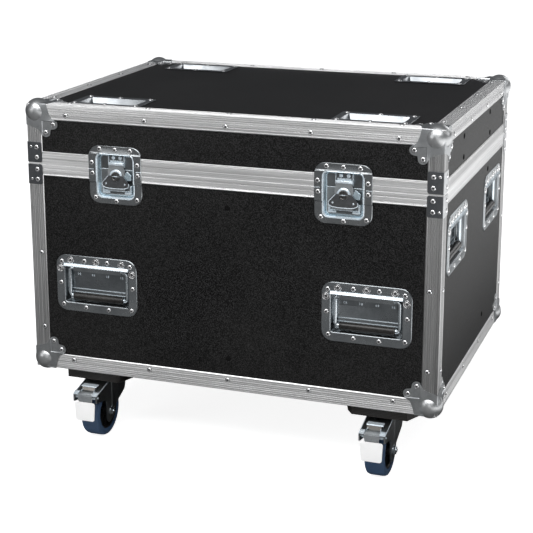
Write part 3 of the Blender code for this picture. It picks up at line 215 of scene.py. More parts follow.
laminate = black_laminate()
for panel in ("floor_panel", "base_front_panel", "base_back_panel", "base_left_panel", "base_right_panel",
              "lid_top_panel", "lid_front_panel", "lid_back_panel", "lid_left_panel", "lid_right_panel"):
    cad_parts[panel].data.materials.clear()
    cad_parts[panel].data.materials.append(laminate)

# Small black countersunk screws that hold the fittings inside the case, driven flush into the film.
# Steel, blackened, with a small recess; their positions follow the photograph.
LEFT, RIGHT, FRONT, BOTTOM = -0.400, 0.400, -0.2924, 0.143


def softened(made, angle=32):
    """Shade a mesh smoothly where its faces meet below an angle in degrees."""
    made.shade_smooth()
    made.set_sharp_from_angle(angle=math.radians(angle))
    return made


def mesh_from(bm, angle=32):
    """Close an edit mesh, its faces pointing out."""
    bmesh.ops.recalc_face_normals(bm, faces=bm.faces)
    made = bpy.data.meshes.new("shape")
    bm.to_mesh(made)
    bm.free()
    return softened(made, angle)


def bridged(bm, rings):
    """Faces between rings of points; a ring of one point is a pole."""
    for here, there in zip(rings, rings[1:]):
        count = max(len(here), len(there))
        for i in range(count):
            j = (i + 1) % count
            corners = (here[i % len(here)], here[j % len(here)], there[j % len(there)], there[i % len(there)])
            bm.faces.new(dict.fromkeys(corners))


def lathe(profile, sides=20):
    """Turn a (radius, height) profile about +Z; a radius of zero closes it."""
    bm = bmesh.new()
    rings = []
    for radius, height in profile:
        turns = [2 * math.pi * i / sides for i in range(sides if radius else 1)]
        rings.append([bm.verts.new((radius * math.cos(a), radius * math.sin(a), height)) for a in turns])
    bridged(bm, rings)
    return mesh_from(bm)


def gathered(meshes, angle=32):
    """Several loose shapes in one mesh; each keeps the material index that it has."""
    bm = bmesh.new()
    for mesh in meshes:
        bm.from_mesh(mesh)
    made = bpy.data.meshes.new("group")
    bm.to_mesh(made)
    bm.free()
    return softened(made, angle)


def copied(mesh, place):
    """A copy of a mesh in another place; a mirrored copy is turned right side out."""
    made = mesh.copy()
    made.transform(place)
    if place.determinant() < 0:
        made.flip_normals()
    return made


def facing(spot, outward):
    """The placing of a part drawn upright at zero, so that its +Z points outward."""
    turn = Vector((0, 0, 1)).rotation_difference(Vector(outward)).to_matrix().to_4x4()
    return Matrix.Translation(spot) @ turn


def mounted(name, mesh, finishes, body, stands_for=()):
    """Put a finished mesh on its CAD body."""
    mesh.name = name
    for one in finishes:
        mesh.materials.append(one)
    made = bpy.data.objects.new(name, mesh)
    bpy.context.scene.collection.objects.link(made)
    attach(made, body)
    if stands_for:
        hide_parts(*stands_for)


def rubbed_metal(name, scale, detail, dark, light, smooth, rough, relief=0.0, **more):
    """Small hardware, finely rubbed."""
    made, tree, position = finish(name)
    rub = noise(tree, position, scale, detail)
    return dressed(made, shade(tree, rub, dark, light), spread(tree, rub, 0.3, 0.7, smooth, rough),
                   (relief, 0.0001, rub) if relief else None, **more)


blackened = rubbed_metal("blackened_screw", 900.0, 2.0, (0.003, 0.003, 0.003), (0.012, 0.012, 0.012), 0.65, 0.85,
                         0.2, Specular_IOR_Level=0.02)
screw = lathe(((0.0050, -0.0006), (0.0052, 0.0002), (0.0046, 0.0007), (0.0026, 0.0010), (0.0011, 0.0009),
               (0.0009, 0.0002), (0, 0.0001)), 14)
peg = lathe(((0.0016, -0.0005), (0.0016, 0.0002), (0.0010, 0.0006), (0, 0.0007)), 10)
panel_face = 0.0021


def side_screws(*spots):
    """Screws in both side walls, at (distance from the front, height)."""
    return [copied(screw, facing((side * (RIGHT - panel_face), FRONT + y, BOTTOM + z), (side, 0, 0)))
            for side in (-1, 1) for y, z in spots]


front_screws = [copied(part, facing((LEFT + x, FRONT + panel_face, BOTTOM + z), (0, -1, 0)))
                for part, x, z in ((screw, 0.4017, 0.352), (screw, 0.4017, 0.062), (peg, 0.459, 0.283),
                                   (peg, 0.248, 0.318))]
mounted("base_black_screws", gathered(front_screws + side_screws((0.4145, 0.3676), (0.4086, 0.0656))),
        [blackened], "base")
mounted("lid_black_screws", gathered(side_screws((0.169, 0.480), (0.170, 0.441), (0.421, 0.440), (0.416, 0.482))),
        [blackened], "lid")

# Edge profiles: extruded aluminium angles, 30 mm on each leg, with a second inner angle that holds
# the panel between them. Left as drawn, with fine long lines, and cut to length under the ball corners.
# The posts on the left are painted paler: a painted highlight for the light they catch from the left.
BACK, TOP, PARTING = 0.3076, 0.665, 0.5493


def drawn_lines_group():
    """Lines along an extrusion: Along is the direction that they run in, Pull how far they are drawn out."""
    group, given = new_group("drawn_lines", {"Position": "Vector", "Along": "Vector", "Fineness": "Float",
                                             "Pull": "Float"}, ["Lines", "Broad Lines"])
    distance = joined(group, "ShaderNodeVectorMath", {"operation": "DOT_PRODUCT"}, i0=given["Position"],
                      i1=given["Along"]).outputs["Value"]
    pulled = joined(group, "ShaderNodeVectorMath", {"operation": "SCALE"}, i0=given["Along"],
                    Scale=maths(group, "MULTIPLY", distance, given["Pull"])).outputs[0]
    flat = joined(group, "ShaderNodeVectorMath", {"operation": "SUBTRACT"}, i0=given["Position"],
                  i1=pulled).outputs[0]
    broad = noise(group, flat, maths(group, "MULTIPLY", given["Fineness"], 0.18))
    joined(group, "NodeGroupOutput", Lines=noise(group, flat, given["Fineness"], 3.0, Roughness=0.65),
           Broad_Lines=broad)
    return group


drawn_lines = drawn_lines_group()


def drawn_aluminium(name, along, dark, light, relief, fineness=1300.0, pull=0.985):
    made, tree, position = finish(name)
    lines = joined(tree, "ShaderNodeGroup", {"node_tree": drawn_lines}, Position=position, Along=along,
                   Fineness=fineness, Pull=pull).outputs
    tone = maths(tree, "MULTIPLY_ADD", lines["Broad Lines"], 0.7, maths(tree, "MULTIPLY", lines["Lines"], 0.4))
    run = joined(tree, "ShaderNodeCombineXYZ", X=along[0], Y=along[1], Z=along[2]).outputs[0]
    return dressed(made, shade(tree, spread(tree, tone, 0.44, 0.64), (dark,) * 3, (light,) * 3),
                   spread(tree, tone, 0.42, 0.68, 0.50, 0.36), (relief, 0.0002, lines["Lines"]),
                   Metallic=1.0, Anisotropic=0.75, Anisotropic_Rotation=0.25, Tangent=run)


# One aluminium in three tones: the rails along x and y painted lighter and the upright posts darker, painted light and
# shade.
aluminium_along = {"x": drawn_aluminium("drawn_aluminium_x", (1, 0, 0), 0.56, 1.0, 0.35, 1300.0, 0.992),
                   "y": drawn_aluminium("drawn_aluminium_y", (0, 1, 0), 0.64, 0.88, 0.10, 560.0, 0.997),
                   "z": drawn_aluminium("drawn_aluminium_z", (0, 0, 1), 0.31, 0.525, 0.22)}
# The left posts: the same aluminium painted paler, a painted highlight.
lit_left_post = drawn_aluminium("painted_highlight_aluminium_z", (0, 0, 1), 0.54, 0.80, 0.22)
# One leg from its outer edge over the grooved face and round to the inner angle: (along the face, depth)
leg = [(0.0005, 0.00014), (0.0012, 0.0)]
for middle in (0.0029, 0.0066, 0.0103, 0.0140, 0.0177, 0.0214, 0.0255):
    leg += [(middle - 0.0009, 0.00005), (middle - 0.0005, 0.0009), (middle + 0.0005, 0.0009),
            (middle + 0.0009, 0.00005)]
leg += [(0.0272, 0.0), (0.0278, -0.0002), (0.0286, 0.0), (0.0299, 0.0013), (0.0300, 0.0018), (0.0129, 0.0018),
        (0.0129, 0.0114), (0.0220, 0.0114), (0.0220, 0.0129)]
angle_section = [(depth, along) for along, depth in leg] + [(0.0129, 0.0129)] + leg[::-1]


def loft(rings, angle=32, closed=False):
    """A solid through rings of points, shut at both ends or, when closed, joined end to end."""
    bm = bmesh.new()
    loops = [[bm.verts.new(point) for point in ring] for ring in rings]
    bridged(bm, loops + loops[:1] if closed else loops)
    if not closed:
        bm.faces.new(loops[0])
        bm.faces.new(loops[-1][::-1])
    return mesh_from(bm, angle)


def bar(section, start, stop, inward_a, inward_b, cuts=(1, 1), mitre=lambda a, b: max(a, b, 0)):
    """Extrude a section between two corners; a cut of 1 mitres that end and 0 leaves it square."""
    start, stop, inward_a, inward_b = map(Vector, (start, stop, inward_a, inward_b))
    along = (stop - start).normalized()
    return loft([[spot + inward_a * a + inward_b * b + along * (cut * mitre(a, b)) for a, b in section]
                 for spot, cut in ((start, cuts[0]), (stop, -cuts[1]))], 24)


def framed(name, mesh, metal, body):
    """Mount a length of profile on its half of the case."""
    mounted(name, mesh, metal, body, [body + "_frame"])


inward = {LEFT: (1, 0, 0), RIGHT: (-1, 0, 0), FRONT: (0, 1, 0), BACK: (0, -1, 0)}
side_names = {LEFT: "left", RIGHT: "right", FRONT: "front", BACK: "back"}
corners = [(x, y) for x in (LEFT, RIGHT) for y in (FRONT, BACK)]
base_band, lid_band = 0.0212, 0.0247
for body, label, level, up, edge in (("base", "bottom", BOTTOM, (0, 0, 1), PARTING - base_band),
                                     ("lid", "top", TOP, (0, 0, -1), PARTING + lid_band)):
    for y in (FRONT, BACK):
        framed(f"{label}_profile_{side_names[y]}",
               bar(angle_section, (LEFT, y, level), (RIGHT, y, level), inward[y], up), [aluminium_along["x"]], body)
    for x in (LEFT, RIGHT):
        framed(f"{label}_profile_{side_names[x]}",
               bar(angle_section, (x, FRONT, level), (x, BACK, level), inward[x], up), [aluminium_along["y"]], body)
    for x, y in corners:
        framed(f"{body}_post_{side_names[y]}_{side_names[x]}",
               bar(angle_section, (x, y, level), (x, y, edge), inward[x], inward[y], (1, 0)),
               [lit_left_post if x == LEFT else aluminium_along["z"]], body)

# Closing profiles: wider extrusions round both halves where they meet, a tongue on the base's and a
# groove in the lid's. Their faces have long ridges and a rounded rim beside the panel.


def band_face(height):
    """Outer face of a closing profile, as (depth, distance from the parting)."""
    points = [(0.0, 0.0004), (0.0004, 0.0)]
    for middle in ((height - 0.0045) / 2, height - 0.0045):
        points += [(middle - 0.0009, 0.0), (middle - 0.0006, 0.0005), (middle + 0.0002, 0.0005),
                   (middle + 0.0006, 0.0)]
    points += [(height - 0.0034, 0.0), (height - 0.0030, 0.0005), (height - 0.0024, 0.0001),
               (height - 0.0012, -0.0002), (height - 0.0003, 0.0001), (height, 0.0009), (height, 0.0018)]
    return [(depth, distance) for distance, depth in points]


def band_section(height, shelf, joint):
    """The face, the slot for the panel, and the joint with the other half."""
    return band_face(height) + [(0.0018, shelf), (0.0114, shelf), (0.0114, 0.016), (0.0129, 0.016),
                                (0.0129, 0.0)] + joint


tongue = [(0.0072, 0.0), (0.0066, -0.0035), (0.0048, -0.0035), (0.0042, 0.0)]
groove = [(0.0078, 0.0), (0.0078, 0.0047), (0.0036, 0.0047), (0.0036, 0.0)]
behind_latch = [(0.0108, 0.0), (0.0108, 0.016), (0.0129, 0.016), (0.0129, 0.0)]
latch_x, latch_gap = 0.2203, 0.0403
for body, section, sign in (("base", band_section(base_band, 0.004, tongue), -1),
                            ("lid", band_section(lid_band, 0.0087, groove), 1)):
    level = PARTING + sign * 0.00015

    def band(strip, wall, start, stop, cuts=(1, 1)):
        return bar(strip, (*start, level), (*stop, level), inward[wall], (0, 0, sign), cuts, lambda a, b: a)

    strips = [band(section, FRONT, (x0, FRONT), (x1, FRONT), cuts)
              for x0, x1, cuts in ((LEFT, -latch_x - latch_gap, (1, 0)), (latch_x + latch_gap, RIGHT, (0, 1)),
                                   (-latch_x + latch_gap, latch_x - latch_gap, (0, 0)))]
    strips += [band(behind_latch, FRONT, (x - latch_gap, FRONT), (x + latch_gap, FRONT), (0, 0))
               for x in (-latch_x, latch_x)]
    framed(f"{body}_closing_profile_front", gathered(strips, 24), [aluminium_along["x"]], body)
    framed(f"{body}_closing_profile_back", band(section, BACK, (LEFT, BACK), (RIGHT, BACK)),
           [aluminium_along["x"]], body)
    for x in (LEFT, RIGHT):
        framed(f"{body}_closing_profile_{side_names[x]}", band(section, x, (x, FRONT), (x, BACK)),
               [aluminium_along["y"]], body)

# Corner braces: bent strips of zinc-plated steel, dull in front, with the leaf on the side painted paler as a painted
# sheen, riveted round each corner over the joint of post and closing profile, one on the base and one on the lid.


def mottled_zinc_group():
    """The cloudy tone of zinc plating: Cloud is broad, Grain is fine."""
    group, given = new_group("mottled_zinc", {"Position": "Vector", "Cloud Size": "Float"}, ["Cloud", "Grain"])
    joined(group, "NodeGroupOutput", Grain=noise(group, given["Position"], 1400.0),
           Cloud=noise(group, given["Position"], given["Cloud Size"], 4.0, Roughness=0.6, Distortion=0.4))
    return group


mottled_zinc = mottled_zinc_group()


def plated_steel(name, dark, light, smooth, rough, cloud_size=38.0, metallic=1.0, relief=0.06, grain_share=0.35):
    """Zinc-plated sheet steel between two tones and two roughnesses."""
    made, tree, position = finish(name)
    zinc = joined(tree, "ShaderNodeGroup", {"node_tree": mottled_zinc}, Position=position,
                  Cloud_Size=cloud_size).outputs
    tone = maths(tree, "MULTIPLY_ADD", zinc["Grain"], grain_share,
                 maths(tree, "MULTIPLY", zinc["Cloud"], 1 - grain_share))
    return dressed(made, shade(tree, spread(tree, tone, 0.36, 0.64), dark, light),
                   spread(tree, tone, 0.36, 0.64, rough, smooth), (relief, 0.0002, zinc["Grain"]),
                   Metallic=metallic)


brace_steel = [plated_steel("dull_zinc_brace", (0.11, 0.118, 0.126), (0.20, 0.208, 0.22), 0.34, 0.48),
               plated_steel("side_brace_painted_sheen", (0.42, 0.43, 0.44), (0.58, 0.59, 0.60), 0.30, 0.42)]
brace_width, brace_height, brace_sheet, brace_corner, bend = 0.029, 0.0388, 0.0013, 0.0035, 0.0022


def arc(cx, cy, radius, start, stop, steps):
    """Points on an arc, angles in degrees."""
    angles = [math.radians(start + (stop - start) * i / steps) for i in range(steps + 1)]
    return [(cx + radius * math.cos(angle), cy + radius * math.sin(angle)) for angle in angles]


def painted(mesh, chosen=lambda polygon: True, index=1):
    """Give the chosen faces of a mesh another of its finishes."""
    for polygon in mesh.polygons:
        if chosen(polygon):
            polygon.material_index = index
    return mesh


def brace_strip():
    """Drawn for the corner at zero, box towards +X +Y, lowest edge at z = 0."""
    half = arc(brace_width - brace_corner, brace_corner, brace_corner, 0, -90, 5) + [(bend, 0.0)]
    columns = [(reach, -brace_sheet, 0, -1, inset) for reach, inset in half]
    for angle in range(15, 90, 15):
        sine, cosine = math.sin(math.radians(angle)), math.cos(math.radians(angle))
        columns.append((bend - brace_sheet - bend * sine, bend - brace_sheet - bend * cosine, -sine, -cosine, 0.0))
    columns += [(-brace_sheet, reach, -1, 0, inset) for reach, inset in reversed(half)]
    ease = 0.0003
    rings = []
    for x, y, nx, ny, inset in columns:
        low, high = inset, brace_height - inset
        rings.append([(x - nx * depth, y - ny * depth, level) for depth, level in (
            (brace_sheet, low), (ease, low), (0, low + ease), (0, high - ease), (ease, high), (brace_sheet, high))])
    # The leaf on the side wall takes the paler finish: a painted sheen.
    return painted(loft(rings), lambda face: face.center.x < 0.0002)


strip = brace_strip()
brace_low = {"base": PARTING - 0.0391, "lid": PARTING + 0.0034}
for body, low in brace_low.items():
    for x, y in corners:
        flip = Matrix.Diagonal((inward[x][0], inward[y][1], 1, 1))
        framed(f"{body}_brace_{side_names[y]}_{side_names[x]}",
               copied(strip, Matrix.Translation((x, y, low)) @ flip), brace_steel, body)

# Ball corners: one pressing of steel each, zinc plated and satin, a ball that takes the knocks with
# three leaves that lap over the profiles and are riveted to the panels beyond them.
# The ball is the leaves' steel painted lighter: a painted sheen.
ball_steel = [plated_steel("satin_zinc_leaf", (0.38, 0.395, 0.405), (0.55, 0.565, 0.575), 0.34, 0.44, 55.0, 1.0,
                           0.10, 0.25),
              plated_steel("ball_zinc_painted_sheen", (0.46, 0.47, 0.475), (0.60, 0.61, 0.615), 0.33, 0.40, 55.0, 0.92,
                           0.10, 0.25)]
ball_radius, ball_inset = 0.024, 0.016
leaf_far, leaf_near, lobe = 0.054, 0.0385, 0.009
leaf_sheet, leaf_fold, fold_radius = 0.0012, 0.041, 0.0027
drop_from, drop_run = 0.0315, 0.0013


def cut(bm, spot, normal):
    """Cut an edit mesh along a plane."""
    bmesh.ops.bisect_plane(bm, geom=bm.verts[:] + bm.edges[:] + bm.faces[:], plane_co=spot, plane_no=normal)


def pulled_off(bm, faces):
    """Extrude faces and return the new points, for moving them."""
    made = bmesh.ops.extrude_face_region(bm, geom=faces)["geom"]
    return [one for one in made if isinstance(one, bmesh.types.BMVert)]


def rolled(spot, turn):
    """The same spot as seen along another axis."""
    return Vector((*spot[turn:], *spot[:turn]))


def leaf_mesh(turn):
    """One leaf: flat over the profiles, stepped down to the panel under its two rivet lobes."""
    half = [(leaf_fold, 0.0012)]
    for i in range(1, 8):
        share = i / 7
        half.append((leaf_fold + 0.0015 + 0.0075 * share ** 1.7, 0.0012 + 0.0245 * share))
    half += arc(leaf_far, leaf_near, lobe, -52, 78, 9)
    waist = (leaf_far + leaf_near) / 2 + 0.0022
    covered = arc(ball_inset, ball_inset, 0.0157, 201, 249, 8)
    outline = [(covered[-1][0], 0.0012)] + half + [(waist, waist)] + [(q, p) for p, q in reversed(half)]
    outline += [(0.0012, covered[0][1])] + covered
    bm = bmesh.new()
    face = bm.faces.new([bm.verts.new((p, q, 0)) for p, q in outline])
    bmesh.ops.triangulate(bm, faces=[face])
    for level in (drop_from, drop_from + drop_run):
        for normal in ((1, 0, 0), (0, 1, 0)):
            cut(bm, Vector(normal) * level, normal)
    bmesh.ops.inset_region(bm, faces=bm.faces[:], thickness=0.0007, use_even_offset=True)
    for vert in bm.verts:
        share = (min(vert.co.x, vert.co.y) - drop_from) / drop_run
        vert.co.z = -0.0015 + 0.0021 * min(max(share, 0), 1) + (0.0006 if vert.is_boundary else 0)
    for vert in pulled_off(bm, bm.faces[:]):
        vert.co.z += leaf_sheet
    for vert in bm.verts:
        vert.co = rolled(vert.co, turn)
    return mesh_from(bm)


def ball_corner():
    """The whole pressing for the corner at zero, box towards +X +Y +Z."""
    ball = bmesh.new()
    bmesh.ops.create_uvsphere(ball, u_segments=40, v_segments=24, radius=ball_radius,
                              matrix=Matrix.Translation((ball_inset,) * 3))
    # The ball takes the lighter finish: painted sheen.
    parts = [painted(mesh_from(ball))]
    centre = fold_radius - 0.0015
    fold = arc(centre, centre, fold_radius, 270, 180, 6) + arc(centre, centre, fold_radius - leaf_sheet, 180, 270, 6)
    for turn in range(3):
        parts.append(leaf_mesh(turn))
        parts.append(loft([[rolled((u, v, along), turn) for u, v in fold] for along in (0.0121, leaf_fold)]))
    return gathered(parts)


pressing = ball_corner()
for body, level, up in (("base", BOTTOM, 1), ("lid", TOP, -1)):
    for x, y in corners:
        place = Matrix.Translation((x, y, level)) @ Matrix.Diagonal((inward[x][0], inward[y][1], up, 1))
        depth = "front" if y == FRONT else "rear"
        mounted(f"{body}_corner_{depth}_{side_names[x]}", copied(pressing, place), ball_steel, body,
                [f"{body}_ball_corner_{depth}_{side_names[x]}"])

# Pop rivets: aluminium blind rivets with a low domed head and the broken steel pin down in its
# middle. Five or four to a profile, two to a corner leaf, all set from outside with one tool.
rivet_finishes = [
    rubbed_metal("bright_rivet", 700.0, 2.0, (0.88, 0.885, 0.89), (0.98, 0.98, 0.98), 0.24, 0.30, 0.06, Metallic=1.0),
    rubbed_metal("rivet_pin_and_painted_shadow", 1500.0, 1.0, (0.045, 0.045, 0.047), (0.15, 0.15, 0.155), 0.45, 0.6,
                 Metallic=0.8)]


def rivet_shape(radius=0.0046, height=0.0016):
    """A domed head; its middle with the broken pin, and a painted shadow ring round its rim, take the second finish.
    """
    dome = ((0.93, 0.5), (0.76, 0.86), (0.58, 1), (0.46, 0.94), (0.38, 0.1), (0.16, 0.1), (0.12, 0.5), (0, 0.5))
    made = lathe([(radius + 0.0004, -0.0006), (radius + 0.0003, 0.0001), (radius, 0.0001), (radius, 0.0003)]
                 + [(radius * across, height * up) for across, up in dome], 20)

    # The dark ring just outside the head is a painted shadow; the middle is the broken pin.
    def dark(polygon):
        reach = max(Vector(made.vertices[i].co[:2]).length for i in polygon.vertices)
        return reach < radius * 0.42 or reach > radius * 1.02

    return painted(made, dark)


rivet = rivet_shape()


def riveted(name, body, spots, shape=rivet):
    """Set rivets at (position, outward direction) pairs."""
    mounted(name, gathered([copied(shape, facing(*spot)) for spot in spots]), rivet_finishes, body)


def spaced(first, last, count):
    return [first + (last - first) * i / (count - 1) for i in range(count)]


walls = ((FRONT, (0, -1, 0)), (BACK, (0, 1, 0)))
ends = ((LEFT, (-1, 0, 0)), (RIGHT, (1, 0, 0)))
from_edge, rivet_aside, peg_aside, leaf_face = 0.020, 0.0185, 0.0068, 0.0006


def along_edges(inset, height, on_top=False):
    """Five to a long edge and four to a short one, all round the case."""
    spots = [((x, y - wall[1] * inset, height), wall)
             for y, wall in walls for x in spaced(LEFT + 0.081, RIGHT - 0.081, 5)]
    spots += [((x - side[0] * inset, y, height), side)
              for x, side in ends for y in spaced(FRONT + 0.075, BACK - 0.075, 4)]
    return [(spot, (0, 0, 1)) for spot, out in spots] if on_top else spots


def on_posts(aside, out, height):
    """One on each face of the four posts: first front and back, then the sides."""
    return [((x - side[0] * aside, y + wall[1] * out, height), wall) for y, wall in walls for x, side in ends] + [
        ((x + side[0] * out, y - wall[1] * aside, height), side) for x, side in ends for y, wall in walls]


for body, level, up in (("base", BOTTOM, 1), ("lid", TOP, -1)):
    spots = along_edges(0, level + up * from_edge)
    if body == "lid":
        spots += along_edges(from_edge, TOP, on_top=True)
    else:
        spots += on_posts(from_edge, 0, BOTTOM + 0.083) + on_posts(from_edge, 0, BOTTOM + 0.232)
    riveted(f"{body}_profile_rivets", body, spots)
    low = brace_low[body]
    riveted(f"{body}_brace_rivets", body, on_posts(rivet_aside, brace_sheet, low + brace_height * 0.25)
            + on_posts(rivet_aside, brace_sheet, low + brace_height * 0.75))
    peg_height = low + brace_height * (0.25 if body == "base" else 0.77)
    riveted(f"{body}_brace_pegs", body, on_posts(peg_aside, brace_sheet, peg_height)[:4],
            rivet_shape(0.0025, 0.0009))
    spots = []
    for x, side in ends:
        for y, wall in walls:
            for a, b in ((leaf_far, leaf_near), (leaf_near, leaf_far)):
                spots += [((x - side[0] * a, y - wall[1] * b, level + up * leaf_face), (0, 0, -up)),
                          ((x - side[0] * a, y - wall[1] * leaf_face, level + up * b), wall),
                          ((x - side[0] * leaf_face, y - wall[1] * a, level + up * b), side)]
    riveted(f"{body}_corner_rivets", body, spots)

# Recessed handles: a deep dish pressed from zinc-plated sheet, with a rolled lip above its opening,
# ten pop rivets, and five flared spot rivets that hold the spring plate behind it.
dish_zinc = plated_steel("zinc_dish", (0.26, 0.28, 0.295), (0.42, 0.445, 0.46), 0.24, 0.36, 24.0)
# The pocket's back wall is the same zinc painted darker: painted shade deep in the dish.
shaded_back_zinc = plated_steel("zinc_dish_back_painted_shade", (0.17, 0.186, 0.197), (0.30, 0.322, 0.337), 0.26, 0.38, 24.0)
# A pale, half-metal zinc for lips, rims, edges and small parts: a painted highlight where they catch the light.
highlight_zinc = plated_steel("pale_zinc_painted_highlight", (0.66, 0.75, 0.81), (0.78, 0.85, 0.90), 0.24, 0.30, 40.0, 0.45, 0.04)
handle_edge, handle_pocket = (-0.084, 0.084, -0.056, 0.056), (-0.066, 0.066, -0.038, 0.038)
flange_level, pocket_floor = -0.0006, -0.0200


def rounded_ring(u0, u1, v0, v1, radius, steps=5):
    """A rectangle with round corners, counter-clockwise from its lower left corner."""
    points = []
    for u, v, start in ((u0 + radius, v0 + radius, 180), (u1 - radius, v0 + radius, 270),
                        (u1 - radius, v1 - radius, 0), (u0 + radius, v1 - radius, 90)):
        points += arc(u, v, radius, start, start + 90, steps)
    return points


def drawn_in(edge, inset, radius, level, steps=5):
    """One step of a pressing: its edge (u0, u1, v0, v1) moved in by an inset, at a level."""
    u0, u1, v0, v1 = edge
    return rounded_ring(u0 + inset, u1 - inset, v0 + inset, v1 - inset, radius, steps), level


def on_front(u, v, w):
    """u to the right, v up, w out of the wall."""
    return Vector((u, -w, v))


def skin_of(rings, place):
    """A sheet through rings of (outline, level), from its outer edge to its floor."""
    bm = bmesh.new()
    loops = [[bm.verts.new(place(u, v, w)) for u, v in outline] for outline, w in rings]
    bridged(bm, loops)
    bm.faces.new(loops[-1])
    return bm


def shaped(data, gauge=None):
    """The mesh that a curve or a sheet comes to; a gauge gives a sheet its thickness, behind its face."""
    holder = bpy.data.objects.new("holder", data)
    bpy.context.scene.collection.objects.link(holder)
    if gauge:
        sheet = holder.modifiers.new("gauge", "SOLIDIFY")
        sheet.thickness, sheet.offset, sheet.use_even_offset = gauge, -1, True
    bpy.context.view_layer.update()
    made = bpy.data.meshes.new_from_object(holder.evaluated_get(bpy.context.evaluated_depsgraph_get()))
    bpy.data.objects.remove(holder)
    return made


def thickened(bm, gauge):
    """Turn an edit mesh into sheet metal."""
    face = bpy.data.meshes.new("sheet")
    bm.to_mesh(face)
    bm.free()
    return softened(shaped(face, gauge))


def prism(outline, place, low, high, ease=0.0, angle=32):
    """A plate from an outline between two levels; ease rounds both faces' edges a little."""
    middle_u, middle_v = (sum(axis) / len(outline) for axis in zip(*outline))

    def eased(u, v):
        share = ease / math.hypot(u - middle_u, v - middle_v)
        return u - (u - middle_u) * share, v - (v - middle_v) * share

    levels = [(outline, low), (outline, high)]
    if ease:
        inner = [eased(*point) for point in outline]
        levels = [(inner, low), (outline, low + ease), (outline, high - ease), (inner, high)]
    bm = skin_of(levels, place)
    bm.faces.new(bm.verts[:len(outline)])
    return mesh_from(bm, angle)


def plate(u0, u1, v0, v1, radius, low, high, ease=0.0, steps=3, place=on_front):
    """A rectangular plate with round corners."""
    return prism(rounded_ring(u0, u1, v0, v1, radius, steps), place, low, high, ease)


def across(section, start, stop, ease=0.0, angle=32):
    """A run of one section from side to side; the section is drawn as (w, v)."""
    return prism(section, lambda w, v, u: on_front(u, v, w), start, stop, ease, angle)


def handle_pressing():
    """Dish, spring housing under the lip, and the raised strip on its back wall."""
    rings = [drawn_in(handle_edge, 0.0, 0.021, flange_level - 0.0010),
             drawn_in(handle_edge, 0.0010, 0.020, flange_level)]
    rings += [drawn_in(handle_pocket, *step) for step in (
        (-0.0034, 0.0074, flange_level), (-0.0024, 0.0064, flange_level + 0.0003), (-0.0013, 0.0053, flange_level),
        (-0.0004, 0.0044, flange_level - 0.0010), (0.0, 0.0040, flange_level - 0.0024),
        (0.0004, 0.0038, pocket_floor + 0.0030), (0.0014, 0.0034, pocket_floor + 0.0008),
        (0.0030, 0.0026, pocket_floor))]
    # Faces deep in the pocket and the spring strip take the darker finish: painted shade.
    dish = painted(thickened(skin_of(rings, on_front), 0.0005), lambda face: face.center.y > 0.0185)
    housing = plate(-0.050, 0.050, 0.0235, 0.0330, 0.0020, pocket_floor, -0.0048, 0.0008)
    spring = plate(-0.053, 0.053, 0.0085, 0.0225, 0.0008, pocket_floor - 0.0002, pocket_floor + 0.0012, 0.0004, 2)
    return gathered([dish, housing, painted(spring)], 40)


def handle_trim():
    """Rolled lip, two beads across the back wall, and small stamped marks."""
    lip = ((-0.0016, 0.0392), (0.0, 0.0394), (0.0008, 0.0388), (0.0032, 0.0348), (0.0028, 0.0338), (-0.0026, 0.0338))
    parts = [across(lip, -0.067, 0.067)]
    for v in (-0.0145, -0.0215):
        bead = [(pocket_floor + rise, v - fall)
                for rise, fall in ((0, 0), (0.0012, 0.0008), (0.0012, 0.0016), (0, 0.0024))]
        parts.append(across(bead, -0.0600, 0.0600))
    parts += [plate(u + low, u + high, 0.0118, 0.0165, 0.0005, pocket_floor + 0.0010, pocket_floor + 0.0022, 0.0004, 2)
              for u in (-0.044, -0.0145, 0.0155, 0.0455) for low, high in ((-0.0030, -0.0012), (0.0004, 0.0032))]
    return gathered(parts, 40)


flared = lathe(((0.0079, -0.0005), (0.0077, 0.0001), (0.0073, 0.0001), (0.0072, 0.0006), (0.0066, 0.0013),
                (0.0058, 0.0011), (0.0055, 0.0001), (0.0047, 0.0001), (0.0045, 0.0009), (0.0037, 0.0013),
                (0.0026, 0.0011), (0.0022, 0.0002), (0, 0.0001)), 26)
# The flares' low rings and the skirt take the dark second finish: painted shade in the recesses.
painted(flared, lambda face: max(flared.vertices[i].co.z for i in face.vertices) < 0.00025)
handle_rivets = ((-0.0722, 0.0420), (-0.0244, 0.0460), (0.0234, 0.0464), (0.0704, 0.0434), (-0.0747, -0.0007),
                 (0.0751, 0.0002), (-0.0707, -0.0436), (-0.0233, -0.0470), (0.0243, -0.0471), (0.0719, -0.0431))
flared_rivets = ((-0.0534, 0.0455), (0.0, 0.0460), (0.0526, 0.0460), (-0.0752, 0.0285), (0.0745, 0.0284))


def on_wall(turn, distance, along, height):
    """Where a fitting drawn for the front goes on one of the walls."""
    return Matrix.Rotation(math.radians(turn), 4, "Z") @ Matrix.Translation((along, -distance, height))


def set_in(shape, place, spots):
    """Copies of a small part on a fitting, at (u, v, w)."""
    return [copied(shape, place @ facing(on_front(*spot), (0, -1, 0))) for spot in spots]


